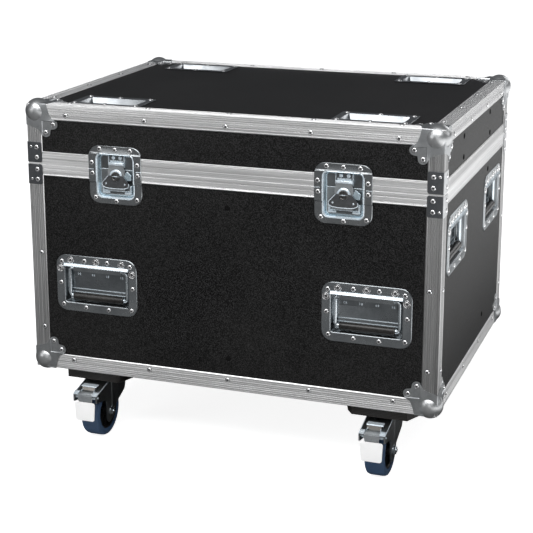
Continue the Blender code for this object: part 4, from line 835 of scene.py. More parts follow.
handles = {name: on_wall(*spot) for name, *spot in (
    ("front_left", 0, -FRONT, -0.266, 0.320), ("front_right", 0, -FRONT, 0.266, 0.320),
    ("right_front", 90, RIGHT, -0.1584, 0.442), ("right_rear", 90, RIGHT, 0.1736, 0.442),
    ("left_rear", -90, RIGHT, -0.1736, 0.442), ("left_front", -90, RIGHT, 0.1584, 0.442))}
pressed_dish, bright_trim = handle_pressing(), handle_trim()
for name, place in handles.items():
    mounted(f"{name}_handle_pressing", copied(pressed_dish, place), [dish_zinc, shaded_back_zinc], "base",
            [f"{name}_handle_dish"])
    # Lip, beads and marks in the pale zinc: painted highlight.
    mounted(f"{name}_handle_lip_and_ledge", copied(bright_trim, place), [highlight_zinc], "base")
    heads = [head for shape, spots in ((rivet, handle_rivets), (flared, flared_rivets))
             for head in set_in(shape, place, [(*spot, flange_level) for spot in spots])]
    mounted(f"{name}_handle_rivets", gathered(heads), rivet_finishes, "base")

# Handle bails: a closed ring of bright zinc-plated rod that swings in the dish, with a ribbed black
# rubber tube on its lower run between two welded collars.


def moulded(name, clean, dusty, smooth, rough, dust=(24.0, 0.8, 1.0), pores=(1100.0, 3.0), relief=(0.25, 0.0002)):
    """Rubber or nylon. Dust is (patch size, where it is full, how much shows), pores (scale, detail)."""
    made, tree, position = finish(name)
    patch, full, shown = dust
    skin = noise(tree, position, *pores)
    powder = spread(tree, dust_on(tree, position, patch), 0.0, full, 0.0, shown)
    return dressed(made, shade(tree, powder, clean, dusty), spread(tree, skin, 0.3, 0.7, smooth, rough),
                   (*relief, skin))


def rod(points, radius, sides=14, closed=False):
    """A round bar along points in space, kept full where it bends."""
    points = [Vector(point) for point in points]
    last = len(points) - 1
    rings = []
    side = None
    for i, here in enumerate(points):
        first = (here - points[i - 1]).normalized() if closed or i > 0 else None
        second = (points[(i + 1) % len(points)] - here).normalized() if closed or i < last else None
        first, second = first or second, second or first
        along = (first + second).normalized()
        stretch = 1 / max(along.dot(first), 0.3) - 1
        if side is None:
            side = along.cross(Vector((0, 0, 1) if abs(along.z) < 0.9 else (1, 0, 0))).normalized()
        side = (side - along * side.dot(along)).normalized()
        other = along.cross(side)
        hinge = first.cross(second)
        outward = along.cross(hinge).normalized() if hinge.length > 1e-6 else Vector((0, 0, 0))
        spokes = [side * math.cos(turn) + other * math.sin(turn)
                  for turn in (2 * math.pi * k / sides for k in range(sides))]
        rings.append([here + (spoke + outward * spoke.dot(outward) * stretch) * radius for spoke in spokes])
    return loft(rings, 40, closed)


def pin(start, stop, v, w, radius, sides=14):
    """A straight round bar from side to side."""
    return rod([on_front(start, v, w), on_front(stop, v, w)], radius, sides)


bright_zinc = plated_steel("bright_zinc", (0.60, 0.66, 0.70), (0.80, 0.85, 0.88), 0.16, 0.26, 60.0)
grip_rubber = moulded("grip_rubber", (0.008, 0.0075, 0.007), (0.035, 0.031, 0.028), 0.22, 0.38)
bail_level, bail_half, bail_low, bail_top = -0.0104, 0.060, -0.028, 0.028
ring_line = rounded_ring(-bail_half, bail_half, bail_low, bail_top, 0.0070, 6)
bail = [rod([on_front(u, v, bail_level) for u, v in ring_line], 0.0036, closed=True)]
bail += [pin(side * (bail_half - 0.0078), side * (bail_half - 0.0056), bail_low, bail_level, 0.0047)
         for side in (-1, 1)]
grip_profile = [(0, -0.0516), (0.0060, -0.0520), (0.0072, -0.0514), (0.0077, -0.0500), (0.0077, -0.0484),
                (0.0073, -0.0480), (0.0073, -0.0472), (0.0077, -0.0468)]
grip_profile += [(radius, -x) for radius, x in reversed(grip_profile)]
lay_down = Matrix.Rotation(math.radians(90), 4, "Y")
grip_tube = copied(lathe(grip_profile, 28), Matrix.Translation(on_front(0, bail_low, bail_level)) @ lay_down)
for name, place in handles.items():
    body = f"{name}_handle_bail"
    mounted(f"{name}_bail_ring", copied(gathered(bail), place), [bright_zinc], body, [body])
    mounted(f"{name}_bail_grip", copied(grip_tube, place), [grip_rubber], body, [body])

# Latch dishes: the pocket for a twist latch, pressed in two halves, one on the lid and one on the
# base, each stepped where its flange passes from the closing profile down to the panel.
latch_zinc = plated_steel("zinc_latch_dish", (0.28, 0.295, 0.305), (0.44, 0.46, 0.47), 0.24, 0.34, 30.0)
# The walls are blue and painted much lighter than the flange of the same sheet: painted light.
lit_blue_zinc = plated_steel("blue_zinc_wall_painted_light", (0.52, 0.66, 0.74), (0.68, 0.80, 0.87), 0.20, 0.28, 30.0, 0.72, 0.04)
# The lid's pocket floor is painted dark, painted shade under the top wall; the base's floor is a lighter grey.
shaded_floor = plated_steel("pocket_floor_painted_shade", (0.17, 0.184, 0.193), (0.28, 0.30, 0.312), 0.26, 0.38, 40.0)
grey_floor = plated_steel("grey_pocket_floor", (0.32, 0.35, 0.365), (0.48, 0.515, 0.535), 0.26, 0.38, 40.0)
latch_edge, latch_pocket = (-0.0535, 0.0535, -0.0663, 0.0443), (-0.0354, 0.0354, -0.0521, 0.0272)
latch_corner, latch_floor = 0.0084, -0.0094
flange_step, step_run = {1: 0.0290, -1: 0.0248}, 0.0024


def upright(u, v, w):
    return Vector((u, v, w))


def latch_half(sign):
    """One half of the dish, drawn round the parting line at v = 0: the lid's for 1, the base's for -1."""
    rings = [drawn_in(latch_edge, 0.0, 0.020, 0.0005), drawn_in(latch_edge, 0.0010, 0.019, 0.0015)]
    rings += [drawn_in(latch_pocket, *step) for step in (
        (-0.0036, 0.0116, 0.0015), (-0.0028, 0.0108, 0.0021), (-0.0018, 0.0098, 0.0019), (-0.0009, 0.0089, 0.0008),
        (-0.0004, 0.0084, -0.0004), (0.0, 0.0080, -0.0018), (0.0014, 0.0070, -0.0080), (0.0020, 0.0064, -0.0090),
        (0.0032, 0.0054, latch_floor))]
    bm = skin_of(rings, upright)
    band, gap = flange_step[sign], 0.00015
    for line in (gap, band, band + step_run / 2, band + step_run):
        cut(bm, (0, sign * line, 0), (0, 1, 0))
    bmesh.ops.delete(bm, geom=[vert for vert in bm.verts if vert.co.y * sign < gap - 1e-7], context="VERTS")
    for vert in bm.verts:
        share = min(max((abs(vert.co.y) - band) / step_run, 0), 1)
        depth = min(max((vert.co.z + 0.0040) / 0.0035, 0), 1)
        vert.co.z -= 0.0021 * share * share * (3 - 2 * share) * depth
    half_u, down, up = latch_pocket[1:]
    for face in bm.faces:
        middle = face.calc_center_median()
        beyond_u = abs(middle.x) - (half_u - latch_corner)
        beyond_v = abs(middle.y - (up + down) / 2) - ((up - down) / 2 - latch_corner)
        from_rim = math.hypot(max(beyond_u, 0), max(beyond_v, 0)) + min(max(beyond_u, beyond_v), 0) - latch_corner
        # Floor faces take the floor finish; the walls the blue zinc, painted light; the band round the rim the pale
        # zinc, a painted highlight.
        if max(vert.co.z for vert in face.verts) < latch_floor + 0.0001:
            face.material_index = 2
        elif from_rim < 0.0033:
            face.material_index = 3 if from_rim > 0.0001 else 1
    for vert in bm.verts:
        vert.co = on_front(*vert.co)
    return thickened(bm, 0.0011)


def either_side(near, far):
    """The same span on the left and on the right."""
    return (-far, -near), (near, far)


def strike_shape():
    """The lid's strike: a spot-welded plate between two folds, a ledge on it and two domed rivets."""
    dome = lathe(((0.0036, 0.0), (0.0036, 0.0006), (0.0030, 0.0013), (0.0018, 0.0017), (0, 0.0018)), 18)
    fold = [(latch_floor, 0.0030), (latch_floor, 0.0250), (-0.0066, 0.0250), (-0.0066, 0.0060)]
    # The plate takes the dark floor finish, painted shade; the ledge, domes and folds the pale zinc, painted
    # highlight.
    parts = [painted(plate(-0.0150, 0.0150, 0.0060, 0.0252, 0.0012, latch_floor, -0.0080, 0.0003)),
             plate(-0.0132, 0.0132, 0.0125, 0.0166, 0.0010, -0.0080, -0.0064, 0.0005)]
    parts += set_in(dome, Matrix(), [(u, 0.0212, -0.0080) for u in (-0.0062, 0.0076)])
    return gathered(parts + [across(fold, *span, 0.0003) for span in either_side(0.0150, 0.0164)])


def lug_shapes():
    """The base's fittings: a rest for the wing, four lugs, a cross bar and the edge at the parting, painted bright."""
    # The rest takes the dark floor finish, painted shade under the wing; the lugs and rods the pale zinc, painted
    # highlight.
    parts = [painted(plate(-0.0150, 0.0170, -0.0462, -0.0424, 0.0006, latch_floor, -0.0070, 0.0004, 2))]
    parts += [plate(*lug, 0.0010, latch_floor, top, 0.0005) for *lug, top in (
        (-0.0290, -0.0140, -0.0464, -0.0430, -0.0052), (0.0160, 0.0300, -0.0464, -0.0430, -0.0052),
        (-0.0293, -0.0257, -0.0428, -0.0300, -0.0064), (0.0262, 0.0298, -0.0428, -0.0300, -0.0064))]
    return gathered(parts + [pin(*line) for line in (
        (-0.0290, 0.0290, -0.0414, -0.0074, 0.0010, 10), (-0.0334, 0.0334, -0.0008, latch_floor, 0.0006, 8),
        (-0.0530, -0.0426, -0.0008, 0.0013, 0.0006, 8), (0.0426, 0.0530, -0.0008, 0.0013, 0.0006, 8))])


def on_flange(u, v):
    """A spot on the flange's face, which drops beyond its step."""
    return u, v, 0.0015 if abs(v) < flange_step[math.copysign(1, v)] + step_run / 2 else -0.0006


latches = {side: on_wall(0, -FRONT, x, PARTING) for side, x in (("left", -latch_x), ("right", latch_x))}
latch_dishes = (
    ("lid", "upper", latch_half(1), shaded_floor, "strike", strike_shape(),
     ((-0.0314, 0.0380), (-0.0002, 0.0377), (0.0308, 0.0374), (-0.0469, 0.0116), (0.0457, 0.0117))),
    ("base", "lower", latch_half(-1), grey_floor, "lugs", lug_shapes(),
     ((-0.0460, -0.0087), (0.0460, -0.0081), (-0.0411, -0.0550), (0.0010, -0.0601), (0.0430, -0.0552))))
for side, place in latches.items():
    for body, word, half, floor_finish, fitting, shape, spots in latch_dishes:
        node = f"{side}_latch_{word}_dish"
        mounted(f"{side}_latch_{word}_pressing", copied(half, place),
                [latch_zinc, lit_blue_zinc, floor_finish, highlight_zinc], body, [node])
        mounted(f"{side}_latch_{fitting}", copied(shape, place), [highlight_zinc, shaded_floor], body, [node])
        mounted(f"{side}_latch_{word}_rivets",
                gathered(set_in(rivet, place, [on_flange(*spot) for spot in spots])), rivet_finishes, body)

# Twist latch works: a round hub with a key recess, a collar behind it painted pale as a painted highlight, the flat
# hook plate that it lifts, with a curl and an ear, and a butterfly wing of dull plated steel that folds on a cross
# pin.
wing_steel = plated_steel("dull_zinc_wing", (0.15, 0.157, 0.163), (0.26, 0.268, 0.278), 0.30, 0.44, 80.0)
hub_steel = plated_steel("dark_hub", (0.10, 0.098, 0.096), (0.24, 0.235, 0.23), 0.28, 0.42, 120.0)
hook_zinc = plated_steel("zinc_hook", (0.42, 0.45, 0.47), (0.60, 0.63, 0.65), 0.26, 0.36, 60.0, 0.8)
hub_drop, pin_level = -0.013, -0.00205
hub_place = facing(on_front(0, hub_drop, 0.0), (0, -1, 0))
hub = copied(lathe(((0, -0.0090), (0.0086, -0.0090), (0.0086, -0.0002), (0.0080, 0.0001), (0.0070, 0.0001),
                    (0.0064, -0.0004), (0.0060, -0.0012), (0.0053, -0.0013), (0.0047, -0.0006), (0.0040, -0.0006),
                    (0.0034, -0.0028), (0.0015, -0.0030), (0.0012, -0.0014), (0, -0.0013)), 32), hub_place)
collar = copied(lathe(((0.0089, -0.0050), (0.0124, -0.0048), (0.0131, -0.0042), (0.0131, -0.0036),
                       (0.0120, -0.0028), (0.0112, -0.0020), (0.0102, -0.0017), (0.0091, -0.0017),
                       (0.0089, -0.0020)), 40), hub_place)
ear_outline = [(u, hub_drop + v) for u, v in (
    (0.0166, 0.0010), (0.0205, 0.0100), (0.0222, 0.0104), (0.0300, 0.0045), (0.0308, 0.0030), (0.0302, -0.0060),
    (0.0290, -0.0068), (0.0166, -0.0070))]
# The ear's front takes the blue zinc, painted light, and its edges the pale zinc, a painted highlight.
hook_ear = painted(prism(ear_outline, on_front, -0.0050, -0.0036, 0.0006), lambda face: face.normal.y < -0.95)
hook_curl = across(rounded_ring(-0.0056, -0.0020, 0.0078, 0.0134, 0.0017), -0.0146, 0.0162, 0.0005, 60)


def hook_plate():
    """The flat plate with its long slot round the hub."""
    edge = [(-0.0170, -0.0402), (0.0170, -0.0402), (0.0170, -0.0030), (0.0150, 0.0040), (0.0150, 0.0092),
            (-0.0150, 0.0092), (-0.0150, 0.0040), (-0.0170, -0.0030)]
    slot = arc(0, hub_drop, 0.0135, 0, 180, 14) + arc(0, hub_drop - 0.010, 0.0135, 180, 360, 14)
    curve = bpy.data.curves.new("hook", "CURVE")
    curve.dimensions, curve.fill_mode = "2D", "BOTH"
    curve.extrude, curve.bevel_depth = 0.0006, 0.00015
    for line in (edge, slot):
        spline = curve.splines.new("POLY")
        spline.points.add(len(line) - 1)
        for point, (u, v) in zip(spline.points, line):
            point.co = (u, v, 0, 1)
        spline.use_cyclic_u = True
    made = shaped(curve)
    made.transform(Matrix.Translation((0, 0.0053, 0)) @ Matrix.Rotation(math.radians(90), 4, "X"))
    return made


def wing_outline(grow=0.0):
    """Half-round under the hub, sloping shoulders, two rounded lobes and a slightly bowed lower edge."""
    room, top = 0.0092 - grow, hub_drop + 0.0020 + grow
    left = [(-0.0150 - grow, top), (-0.0163 - grow, top - 0.0012)]
    left += arc(-0.0222, hub_drop - 0.0150, 0.0058 + grow, 143, 240, 8)
    left += [(-0.0200, hub_drop - 0.0222 - grow), (-0.0100, hub_drop - 0.0234 - grow)]
    right = [(-u, v) for u, v in reversed(left)]
    return left + right + [(room, top)] + arc(0, hub_drop, room, 0, -180, 16) + [(-room, top)]


eye_spots = [(side * 0.0190, hub_drop - 0.0138, -0.0004) for side in (-1, 1)]
eyelet = lathe(((0, 0.0008), (0.0011, 0.0009), (0.0016, 0.0004), (0.0016, -0.0004)), 12)


def wing_shape():
    """A stamped plate with a raised rim, two ringed holes, and ears round the cross pin."""
    rim = rod([on_front(u, v, -0.0003) for u, v in wing_outline(-0.0007)[:24]], 0.0007, 8)
    ring = lathe(((0.0015, 0.0002), (0.0022, 0.0006), (0.0030, 0.0005), (0.0032, 0.0), (0.0032, -0.0006),
                  (0.0015, -0.0006)), 16)
    ears = [pin(side * 0.0130, side * 0.0156, hub_drop, pin_level, 0.0020) for side in (-1, 1)]
    # The raised rim takes the pale zinc: a painted highlight on the edge.
    return gathered([prism(wing_outline(), on_front, -0.0014, -0.0003), painted(rim)] + ears
                    + set_in(ring, Matrix(), eye_spots))


cross_pin = pin(-0.0158, 0.0158, hub_drop, pin_level, 0.0011, 10)
latch_works = (("hub", "cam", hub, [hub_steel], "zinc_steel"),
               # Collar, cross pin, curl, ear edges and eyelets in the pale zinc: painted highlight.
               ("collar", "cam", gathered([collar, cross_pin]), [highlight_zinc], None),
               ("hook_plate", "hook", hook_plate(), [hook_zinc], "zinc_steel"),
               ("hook_curl", "hook", hook_curl, [highlight_zinc], None),
               ("hook_ear", "hook", hook_ear, [highlight_zinc, lit_blue_zinc], None),
               ("butterfly", "wing", wing_shape(), [wing_steel, highlight_zinc], "latch_steel"),
               ("eyelets", "wing", gathered(set_in(eyelet, Matrix(), eye_spots)), [highlight_zinc], None))
for side, place in latches.items():
    for piece, part, shape, finishes, slot in latch_works:
        body = f"{side}_latch_{part}"
        mounted(f"{side}_latch_{piece}", copied(shape, place), finishes, body, [body] if slot else ())

# Stacking dishes: shallow pans pressed from zinc-plated sheet and riveted in the top, one over each
# castor, so that the wheels of another case stand in them.
pan_zinc = plated_steel("zinc_pan", (0.27, 0.285, 0.30), (0.42, 0.44, 0.455), 0.24, 0.38, 26.0)
pan_level, pan_edge = TOP - 0.0006, (-0.0720, 0.0720, -0.0430, 0.0430)
pan_rings = [drawn_in(pan_edge, *step, 3) for step in (
    (0.0, 0.0040, -0.0003), (0.0003, 0.0037, 0.0), (0.0124, 0.0040, 0.0), (0.0136, 0.0034, -0.0003),
    (0.0144, 0.0030, -0.0012), (0.0190, 0.0030, -0.0160), (0.0200, 0.0026, -0.0174), (0.0216, 0.0020, -0.0179))]
pan = thickened(skin_of(pan_rings, upright), 0.0008)
for x, side in ((-0.2565, "left"), (0.2565, "right")):
    for y, depth in ((-0.2179, "front"), (0.2331, "rear")):
        mounted(f"{depth}_{side}_pan", copied(pan, Matrix.Translation((x, y, pan_level))), [pan_zinc], "lid",
                [f"{depth}_{side}_stacking_dish"])
        riveted(f"{depth}_{side}_pan_rivets", "lid",
                [((x + u, y + v, pan_level), (0, 0, 1)) for u in (-0.0625, 0, 0.0625) for v in (-0.0345, 0.0345)])

# Lid hinges: two steel stop hinges at the back, each of two leaves with rolled knuckles on a pin,
# riveted through the closing profiles. They aren't in the photograph.
hinge_steel = plated_steel("zinc_hinge", (0.30, 0.31, 0.32), (0.44, 0.45, 0.46), 0.28, 0.40, 40.0)
hinge_half, knuckle_count, hinge_out = 0.038, 5, 0.0055
knuckle, play = 2 * hinge_half / knuckle_count, 0.00015
for side, x in (("left", -0.200), ("right", 0.200)):
    place = on_wall(180, BACK, -x, PARTING)
    for body, sign, first in (("base", -1, 0), ("lid", 1, 1)):
        web = [(w, sign * v) for w, v in ((0.0002, 0.0070), (0.0015, 0.0075), (0.0052, 0.0043), (0.0040, 0.0020),
                                          (0.0012, 0.0010), (0.0002, 0.0010))]
        parts = [plate(-hinge_half, hinge_half, *sorted((sign * 0.0060, sign * 0.0185)), 0.0030, 0.0002, 0.0015,
                       0.0003, 4)]
        for i in range(first, knuckle_count, 2):
            start, stop = -hinge_half + i * knuckle + play, -hinge_half + (i + 1) * knuckle - play
            parts += [pin(start, stop, 0, hinge_out, 0.0043, 20), across(web, start, stop)]
        mounted(f"{side}_hinge_{body}_leaf", copied(gathered(parts), place), [hinge_steel], body, [body + "_frame"])
        riveted(f"{side}_hinge_{body}_rivets", body,
                [(place @ on_front(u, sign * 0.0128, 0.0015), (0, 1, 0)) for u in (-0.028, 0.0, 0.028)])
    hinge_pin = pin(-hinge_half - 0.0008, hinge_half + 0.0008, 0, hinge_out, 0.0021)
    mounted(f"{side}_hinge_pin", copied(hinge_pin, place), [hinge_steel], "base", ["base_frame"])

# Castor pads: boards of birch plywood, painted black, with cut corners and a routed underside, bolted
# under the floor to spread the load of each castor.
pad_top, pad_low, pad_skirt = BOTTOM - 0.0003, 0.1238, 0.1205
leaf_reach, rebate = 0.0640, 0.0016
castors = {"front_left": (-0.287, -0.2114), "front_right": (0.287, -0.2114),
           "rear_left": (-0.287, 0.2266), "rear_right": (0.287, 0.2266)}


def painted_plywood():
    made, tree, position = finish("black_painted_plywood")
    plies = joined(tree, "ShaderNodeTexWave", {"bands_direction": "Z"}, Vector=position, Scale=110.0,
                   Distortion=2.5, Detail=3.0, Detail_Scale=2.0).outputs["Fac"]
    fibres = joined(tree, "ShaderNodeGroup", {"node_tree": drawn_lines}, Position=position, Along=(1, 0, 0),
                    Fineness=700.0, Pull=0.985).outputs["Lines"]
    worn = spread(tree, maths(tree, "MULTIPLY", plies, fibres), 0.1, 0.6)
    return dressed(made, shade(tree, worn, (0.010, 0.009, 0.008), (0.050, 0.045, 0.040)),
                   spread(tree, fibres, 0.3, 0.7, 0.45, 0.65), (0.45, 0.0004, fibres))


def pad_shape(x, y):
    """The board, routed out for the castor's plate and rebated over the leaf of the ball corner."""
    sx, sy = math.copysign(1, x), math.copysign(1, y)
    plan = ((-0.050, 0.063), (0.055, 0.063), (0.069, 0.032), (0.069, -0.0694), (0.059, -0.0914), (-0.060, -0.0914),
            (-0.074, -0.0694), (-0.074, 0.012), (-0.062, 0.046))
    bm = bmesh.new()
    bm.from_mesh(prism([(sx * a, sy * b) for a, b in plan], upright, pad_low, pad_top))
    bm.normal_update()
    underside = [face for face in bm.faces if face.normal.z < -0.9]
    border = bmesh.ops.inset_region(bm, faces=underside, thickness=0.012, use_even_offset=True)["faces"]
    for vert in pulled_off(bm, border):
        vert.co.z = pad_skirt
    leaf_x = sx * (RIGHT - leaf_reach) - x
    leaf_y = (FRONT + leaf_reach if y < 0 else BACK - leaf_reach) - y
    cut(bm, (leaf_x, 0, 0), (1, 0, 0))
    cut(bm, (0, leaf_y, 0), (0, 1, 0))

    def under_leaf(face):
        middle = face.calc_center_median()
        return face.normal.z > 0.9 and (middle.x - leaf_x) * sx > 0 and (middle.y - leaf_y) * sy > 0

    for vert in pulled_off(bm, [next(face for face in bm.faces if under_leaf(face))]):
        vert.co.z -= rebate
    return mesh_from(bm)


def standing(name, mesh):
    """A part drawn for a swivel axis at zero, moved to its castor."""
    return copied(mesh, Matrix.Translation((*castors[name], 0)))


pad_finish = painted_plywood()
for name, spot in castors.items():
    mounted(f"{name}_pad", standing(name, pad_shape(*spot)), [pad_finish], "base", [f"{name}_castor_mount"])

# Castor heads: a pressed top plate bolted through the pad with four hexagon bolts, and below it the
# ball race that the fork turns in. Zinc plated.


def hexagon(radius):
    return arc(0, 0, radius, 0, 300, 5)


bolt = [prism(hexagon(0.0074), upright, 0.1184, 0.1212, 0.0006),
        lathe(((0, 0.1216), (0.0084, 0.1216), (0.0084, 0.1210), (0, 0.1209)), 18)]
head = gathered([plate(-0.0525, 0.0525, -0.0425, 0.0425, 0.006, 0.1214, 0.1237, 0.0004, 4, upright),
                 lathe(((0, 0.1216), (0.0318, 0.1216), (0.0320, 0.1208), (0.0312, 0.1198), (0.0318, 0.1190),
                        (0.0310, 0.1184), (0.0290, 0.1182), (0, 0.1182)), 36)]
                + [copied(part, Matrix.Translation((x, y, 0)))
                   for x in (-0.040, 0.040) for y in (-0.030, 0.030) for part in bolt])
for name in castors:
    mounted(f"{name}_top_plate", standing(name, head), [hinge_steel], "base", [f"{name}_castor_mount"])

# Castor forks: pressed from 3 mm sheet round the ball race, with two legs that hold the axle bolt and
# nut. The front pair has longer cheeks that carry the brake's pin.
fork_zinc = plated_steel("dark_fork", (0.29, 0.30, 0.305), (0.45, 0.465, 0.47), 0.26, 0.40, 34.0)
axle_y, axle_z, inner_face, outer_face = -0.038, 0.050, 0.0221, 0.0251


def sideways(y, z, x):
    """For a part drawn from the side."""
    return Vector((x, y, z))


def fork_shape(nose, braked):
    """Two cheeks with a rib on each, the slope before them, the crown and the curved back."""
    cheek = [(0.0290, 0.0960), (0.0280, 0.0840), (0.0230, 0.0740), (-0.0190, 0.0560), (-0.0210, 0.0440),
             (-0.0260, 0.0375), (-0.0440, 0.0300), (-0.0500, 0.0300), (-0.0535, 0.0330), (-0.0560, 0.0400),
             (-0.0590, 0.0760), (-0.0640, 0.0810), (-nose, 0.0880), (-nose, 0.1025), (-0.0320, 0.1172),
             (0.0200, 0.1172), (0.0270, 0.1140), (0.0290, 0.1080)]
    slope = [(-0.0330, 0.1150), (-nose, 0.1000), (-nose, 0.1026), (-0.0330, 0.1176)]
    outside = [(outer_face * math.cos(math.pi * i / 8), 0.0290 * math.sin(math.pi * i / 8) ** 0.6) for i in range(9)]
    back = outside + [(x * 0.88, y * 0.90) for x, y in reversed(outside)]
    parts = [prism(cheek, sideways, *span, 0.0005) for span in either_side(inner_face, outer_face)]
    parts += [plate(-0.0365, -0.0325, 0.0560, 0.1120, 0.0016, *span, 0.0004, 3, sideways)
              for span in either_side(outer_face - 0.0004, outer_face + 0.0010)]
    parts += [prism(slope, sideways, -outer_face + 0.0008, outer_face - 0.0008, 0.0003),
              lathe(((0, 0.1088), (0.0300, 0.1088), (0.0312, 0.1104), (0.0316, 0.1150), (0.0306, 0.1172),
                     (0.0270, 0.1176), (0, 0.1176)), 36),
              prism(back, upright, 0.0800, 0.1160)]
    if not braked:
        apron = [(-nose + 0.0022, 0.0890), (-nose, 0.0885), (-nose, 0.1020), (-nose + 0.0022, 0.1024)]
        parts.append(prism(apron, sideways, -inner_face, inner_face, 0.0002))
    return gathered(parts)


axle_stack = [lathe(((0, -0.0004), (0.0092, -0.0004), (0.0092, 0.0004), (0.0080, 0.0009), (0, 0.0009)), 24),
              prism(hexagon(0.0082), upright, 0.0008, 0.0050, 0.0008),
              lathe(((0, 0.0045), (0.0036, 0.0045), (0.0036, 0.0062), (0.0030, 0.0067), (0, 0.0067)), 16)]
axle_bolt = gathered([copied(part, Matrix.Translation((side * outer_face, axle_y, axle_z))
                             @ Matrix.Rotation(math.radians(90 * side), 4, "Y"))
                      for side in (-1, 1) for part in axle_stack])
braked_fork, plain_fork = fork_shape(0.103, True), fork_shape(0.091, False)
for name in castors:
    body = f"{name}_castor_fork"
    shape = braked_fork if name.startswith("front") else plain_fork
    mounted(f"{name}_fork_pressing", standing(name, shape), [fork_zinc], body, [body])
    mounted(f"{name}_axle_bolt", standing(name, axle_bolt), [bright_zinc], body)

# Brakes, on the front pair only: zinc-plated links and a spring between the cheeks, folded from
# sheet, and a white nylon foot pedal that hangs from the brake's pin in front of the tyre.
worn_steel = plated_steel("worn_brake_shoe", (0.34, 0.315, 0.285), (0.54, 0.51, 0.47), 0.30, 0.45, 60.0)
pedal_nylon = moulded("white_nylon", (1.0, 1.0, 0.995), (0.80, 0.79, 0.76), 0.36, 0.48, (30.0, 1.0, 0.18),
                      (900.0, 2.0), (0.10, 0.0002))
brake_y, brake_z = -0.098, 0.0975


def brake_links():
    """Roof of the block, strap in three runs, links, the pin and its two springs."""
    roof = ((-0.0745, 0.1146), (-0.0745, 0.1158), (-0.0848, 0.1152), (-0.0862, 0.1140), (-0.0858, 0.1132))
    strap = ((-0.0925, 0.1036), (-0.0930, 0.1060), (-0.1005, 0.1046), (-0.1040, 0.1020), (-0.1030, 0.1006),
             (-0.0985, 0.1026))
    # The roof, pin, rods, springs and the strap's end runs take the pale zinc, painted highlight; its middle run the
    # hook's zinc.
    parts = [prism(roof, sideways, -0.0150, 0.0165, 0.0003), pin(-0.0262, 0.0262, brake_z, -brake_y, 0.0019, 12)]
    parts += [painted(prism([(y, z + lift) for y, z in strap], sideways, start, stop, 0.0003), index=index)
              for start, stop, lift, index in ((-0.0246, -0.0150, 0.0012, 0), (-0.0150, 0.0140, -0.0004, 1),
                                               (0.0140, 0.0246, 0.0010, 0))]
    turns, points = 5, 60
    for side in (-1, 1):
        coil = []
        for i in range(points + 1):
            angle = 2 * math.pi * turns * i / points
            coil.append((side * (0.0150 + 0.0052 * i / points), brake_y + 0.0033 * math.cos(angle),
                         brake_z + 0.0033 * math.sin(angle)))
        parts += [rod([(side * 0.0245, -0.036, 0.1173), (side * 0.0245, -0.1020, 0.1030)], 0.0007, 8),
                  rod([(side * 0.0115, -0.0820, 0.1082), (side * 0.0135, -0.0920, 0.1066)], 0.0011, 8),
                  rod(coil, 0.0005, 6)]
    return gathered(parts)


def brake_plates():
    """The shoe's block, the tray below it, and the plate that hangs in front of the pedal's barrel."""
    block = ((-0.0700, 0.1085), (-0.0700, 0.1148), (-0.0835, 0.1140), (-0.0858, 0.1066), (-0.0850, 0.1050))
    tray = ((-0.0840, 0.1050), (-0.0845, 0.1066), (-0.0930, 0.1050), (-0.0925, 0.1034))
    hanging = ((-0.0150, 0.1018), (-0.0135, 0.0893), (0.0135, 0.0893), (0.0150, 0.1018))
    # The block's sides take the worn shoe finish; the tray takes the dark floor finish, a dark gap of painted shade.
    return gathered([painted(prism(block, sideways, -0.0145, 0.0125, 0.0006), lambda face: abs(face.normal.z) < 0.6),
                     painted(prism(tray, sideways, -0.0120, 0.0110, 0.0003), index=2),
                     prism(hanging, on_front, 0.1036, 0.1050, 0.0003)])


def pedal_shape():
    """A slightly crowned plate with round corners, on a neck and a barrel, with two ribs behind."""
    low, high = 0.0505, 0.0885
    rings = []
    for inset, depth in ((0.0, 0.0022), (0.0, 0.0008), (0.0006, 0.0002), (0.0030, 0.0), (0.0090, -0.0003)):
        line, level = drawn_in((-0.0215, 0.0215, low, high), inset, max(0.0045 - inset * 0.3, 0.0020), 0.1059 - depth)
        rings.append(([(u * (0.90 + 0.10 * (v - low) / (high - low)), v) for u, v in line], level))
    neck = [(-0.1040, 0.0830), (-0.1012, 0.0830), (-0.0975, 0.0935), (-0.1008, 0.0960)]
    ribs = [plate(-0.1035, -0.1008, 0.0560, 0.0860, 0.0008, x - 0.0009, x + 0.0009, 0.0, 2, sideways)
            for x in (-0.0165, 0.0165)]
    return gathered([thickened(skin_of(rings, on_front), 0.0024), prism(neck, sideways, -0.0125, 0.0125, 0.0004),
                     pin(-0.0135, 0.0135, brake_z, -brake_y, 0.0040, 16)] + ribs)


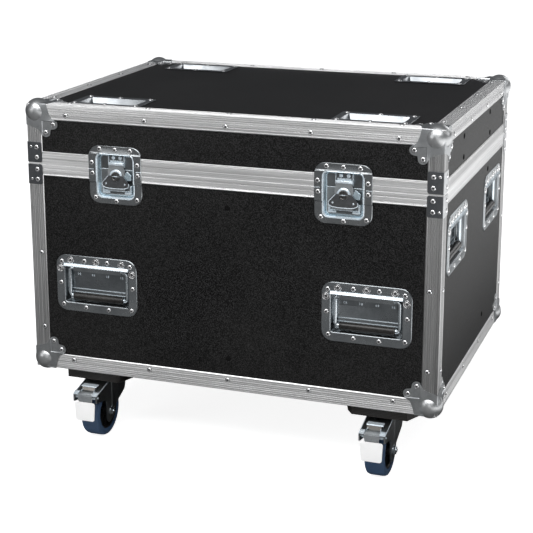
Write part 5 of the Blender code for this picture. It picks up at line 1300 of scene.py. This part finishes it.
links, plates, pedal = brake_links(), brake_plates(), pedal_shape()
for name in ("front_left", "front_right"):
    fork, foot = f"{name}_castor_fork", f"{name}_brake_pedal"
    mounted(f"{name}_brake_links", standing(name, links), [highlight_zinc, hook_zinc], fork)
    mounted(f"{name}_brake_plates", standing(name, plates), [hook_zinc, worn_steel, shaded_floor], fork)
    mounted(f"{name}_foot_pedal", standing(name, pedal), [pedal_nylon], foot, [foot])

# Castor wheels: a black nylon rim with webs and a roller bearing in its hub, and a tyre of blue
# elastic rubber moulded round it, 100 mm across.
tyre_blue = moulded("blue_tyre", (0.030, 0.072, 0.150), (0.085, 0.125, 0.185), 0.48, 0.62, (18.0, 1.0, 0.6),
                    (800.0, 3.0), (0.25, 0.0003))
rim_black = moulded("black_nylon_rim", (0.008, 0.008, 0.0085), (0.030, 0.029, 0.028), 0.26, 0.42)


def both_faces(half):
    """A profile and its mirror image below it."""
    return half + [(radius, -height) for radius, height in reversed(half) if height]


tyre = lathe(both_faces([(0.0362, 0.0176), (0.0385, 0.0186), (0.0420, 0.0190), (0.0455, 0.0186), (0.0480, 0.0172),
                         (0.0494, 0.0146), (0.0500, 0.0105), (0.0500, 0.0)]), 56)
web = prism([(0.0106, -0.0009), (0.0326, -0.0009), (0.0326, 0.0009), (0.0106, 0.0009)], upright, -0.0130, 0.0130)
rim = gathered([lathe(both_faces([(0.0055, 0.0210), (0.0105, 0.0210), (0.0108, 0.0190), (0.0112, 0.0070),
                                  (0.0300, 0.0058), (0.0322, 0.0070), (0.0328, 0.0150), (0.0340, 0.0164),
                                  (0.0366, 0.0170), (0.0368, 0.0100)]), 48)]
               + [copied(web, Matrix.Rotation(math.radians(60 * i), 4, "Z")) for i in range(6)])
race = lathe(((0.0052, 0.0205), (0.0056, 0.0213), (0.0088, 0.0213), (0.0092, 0.0206)), 24)
bearing = gathered([race, copied(race, Matrix.Diagonal((1, 1, -1, 1)))])
on_axle = Matrix.Translation((0, axle_y, axle_z)) @ lay_down
for name in castors:
    body = f"{name}_castor_wheel"
    mounted(f"{name}_tyre", standing(name, copied(tyre, on_axle)), [tyre_blue], body, [body])
    mounted(f"{name}_rim", standing(name, copied(rim, on_axle)), [rim_black], body, [body])
    mounted(f"{name}_bearing", standing(name, copied(bearing, on_axle)), [hinge_steel], body)
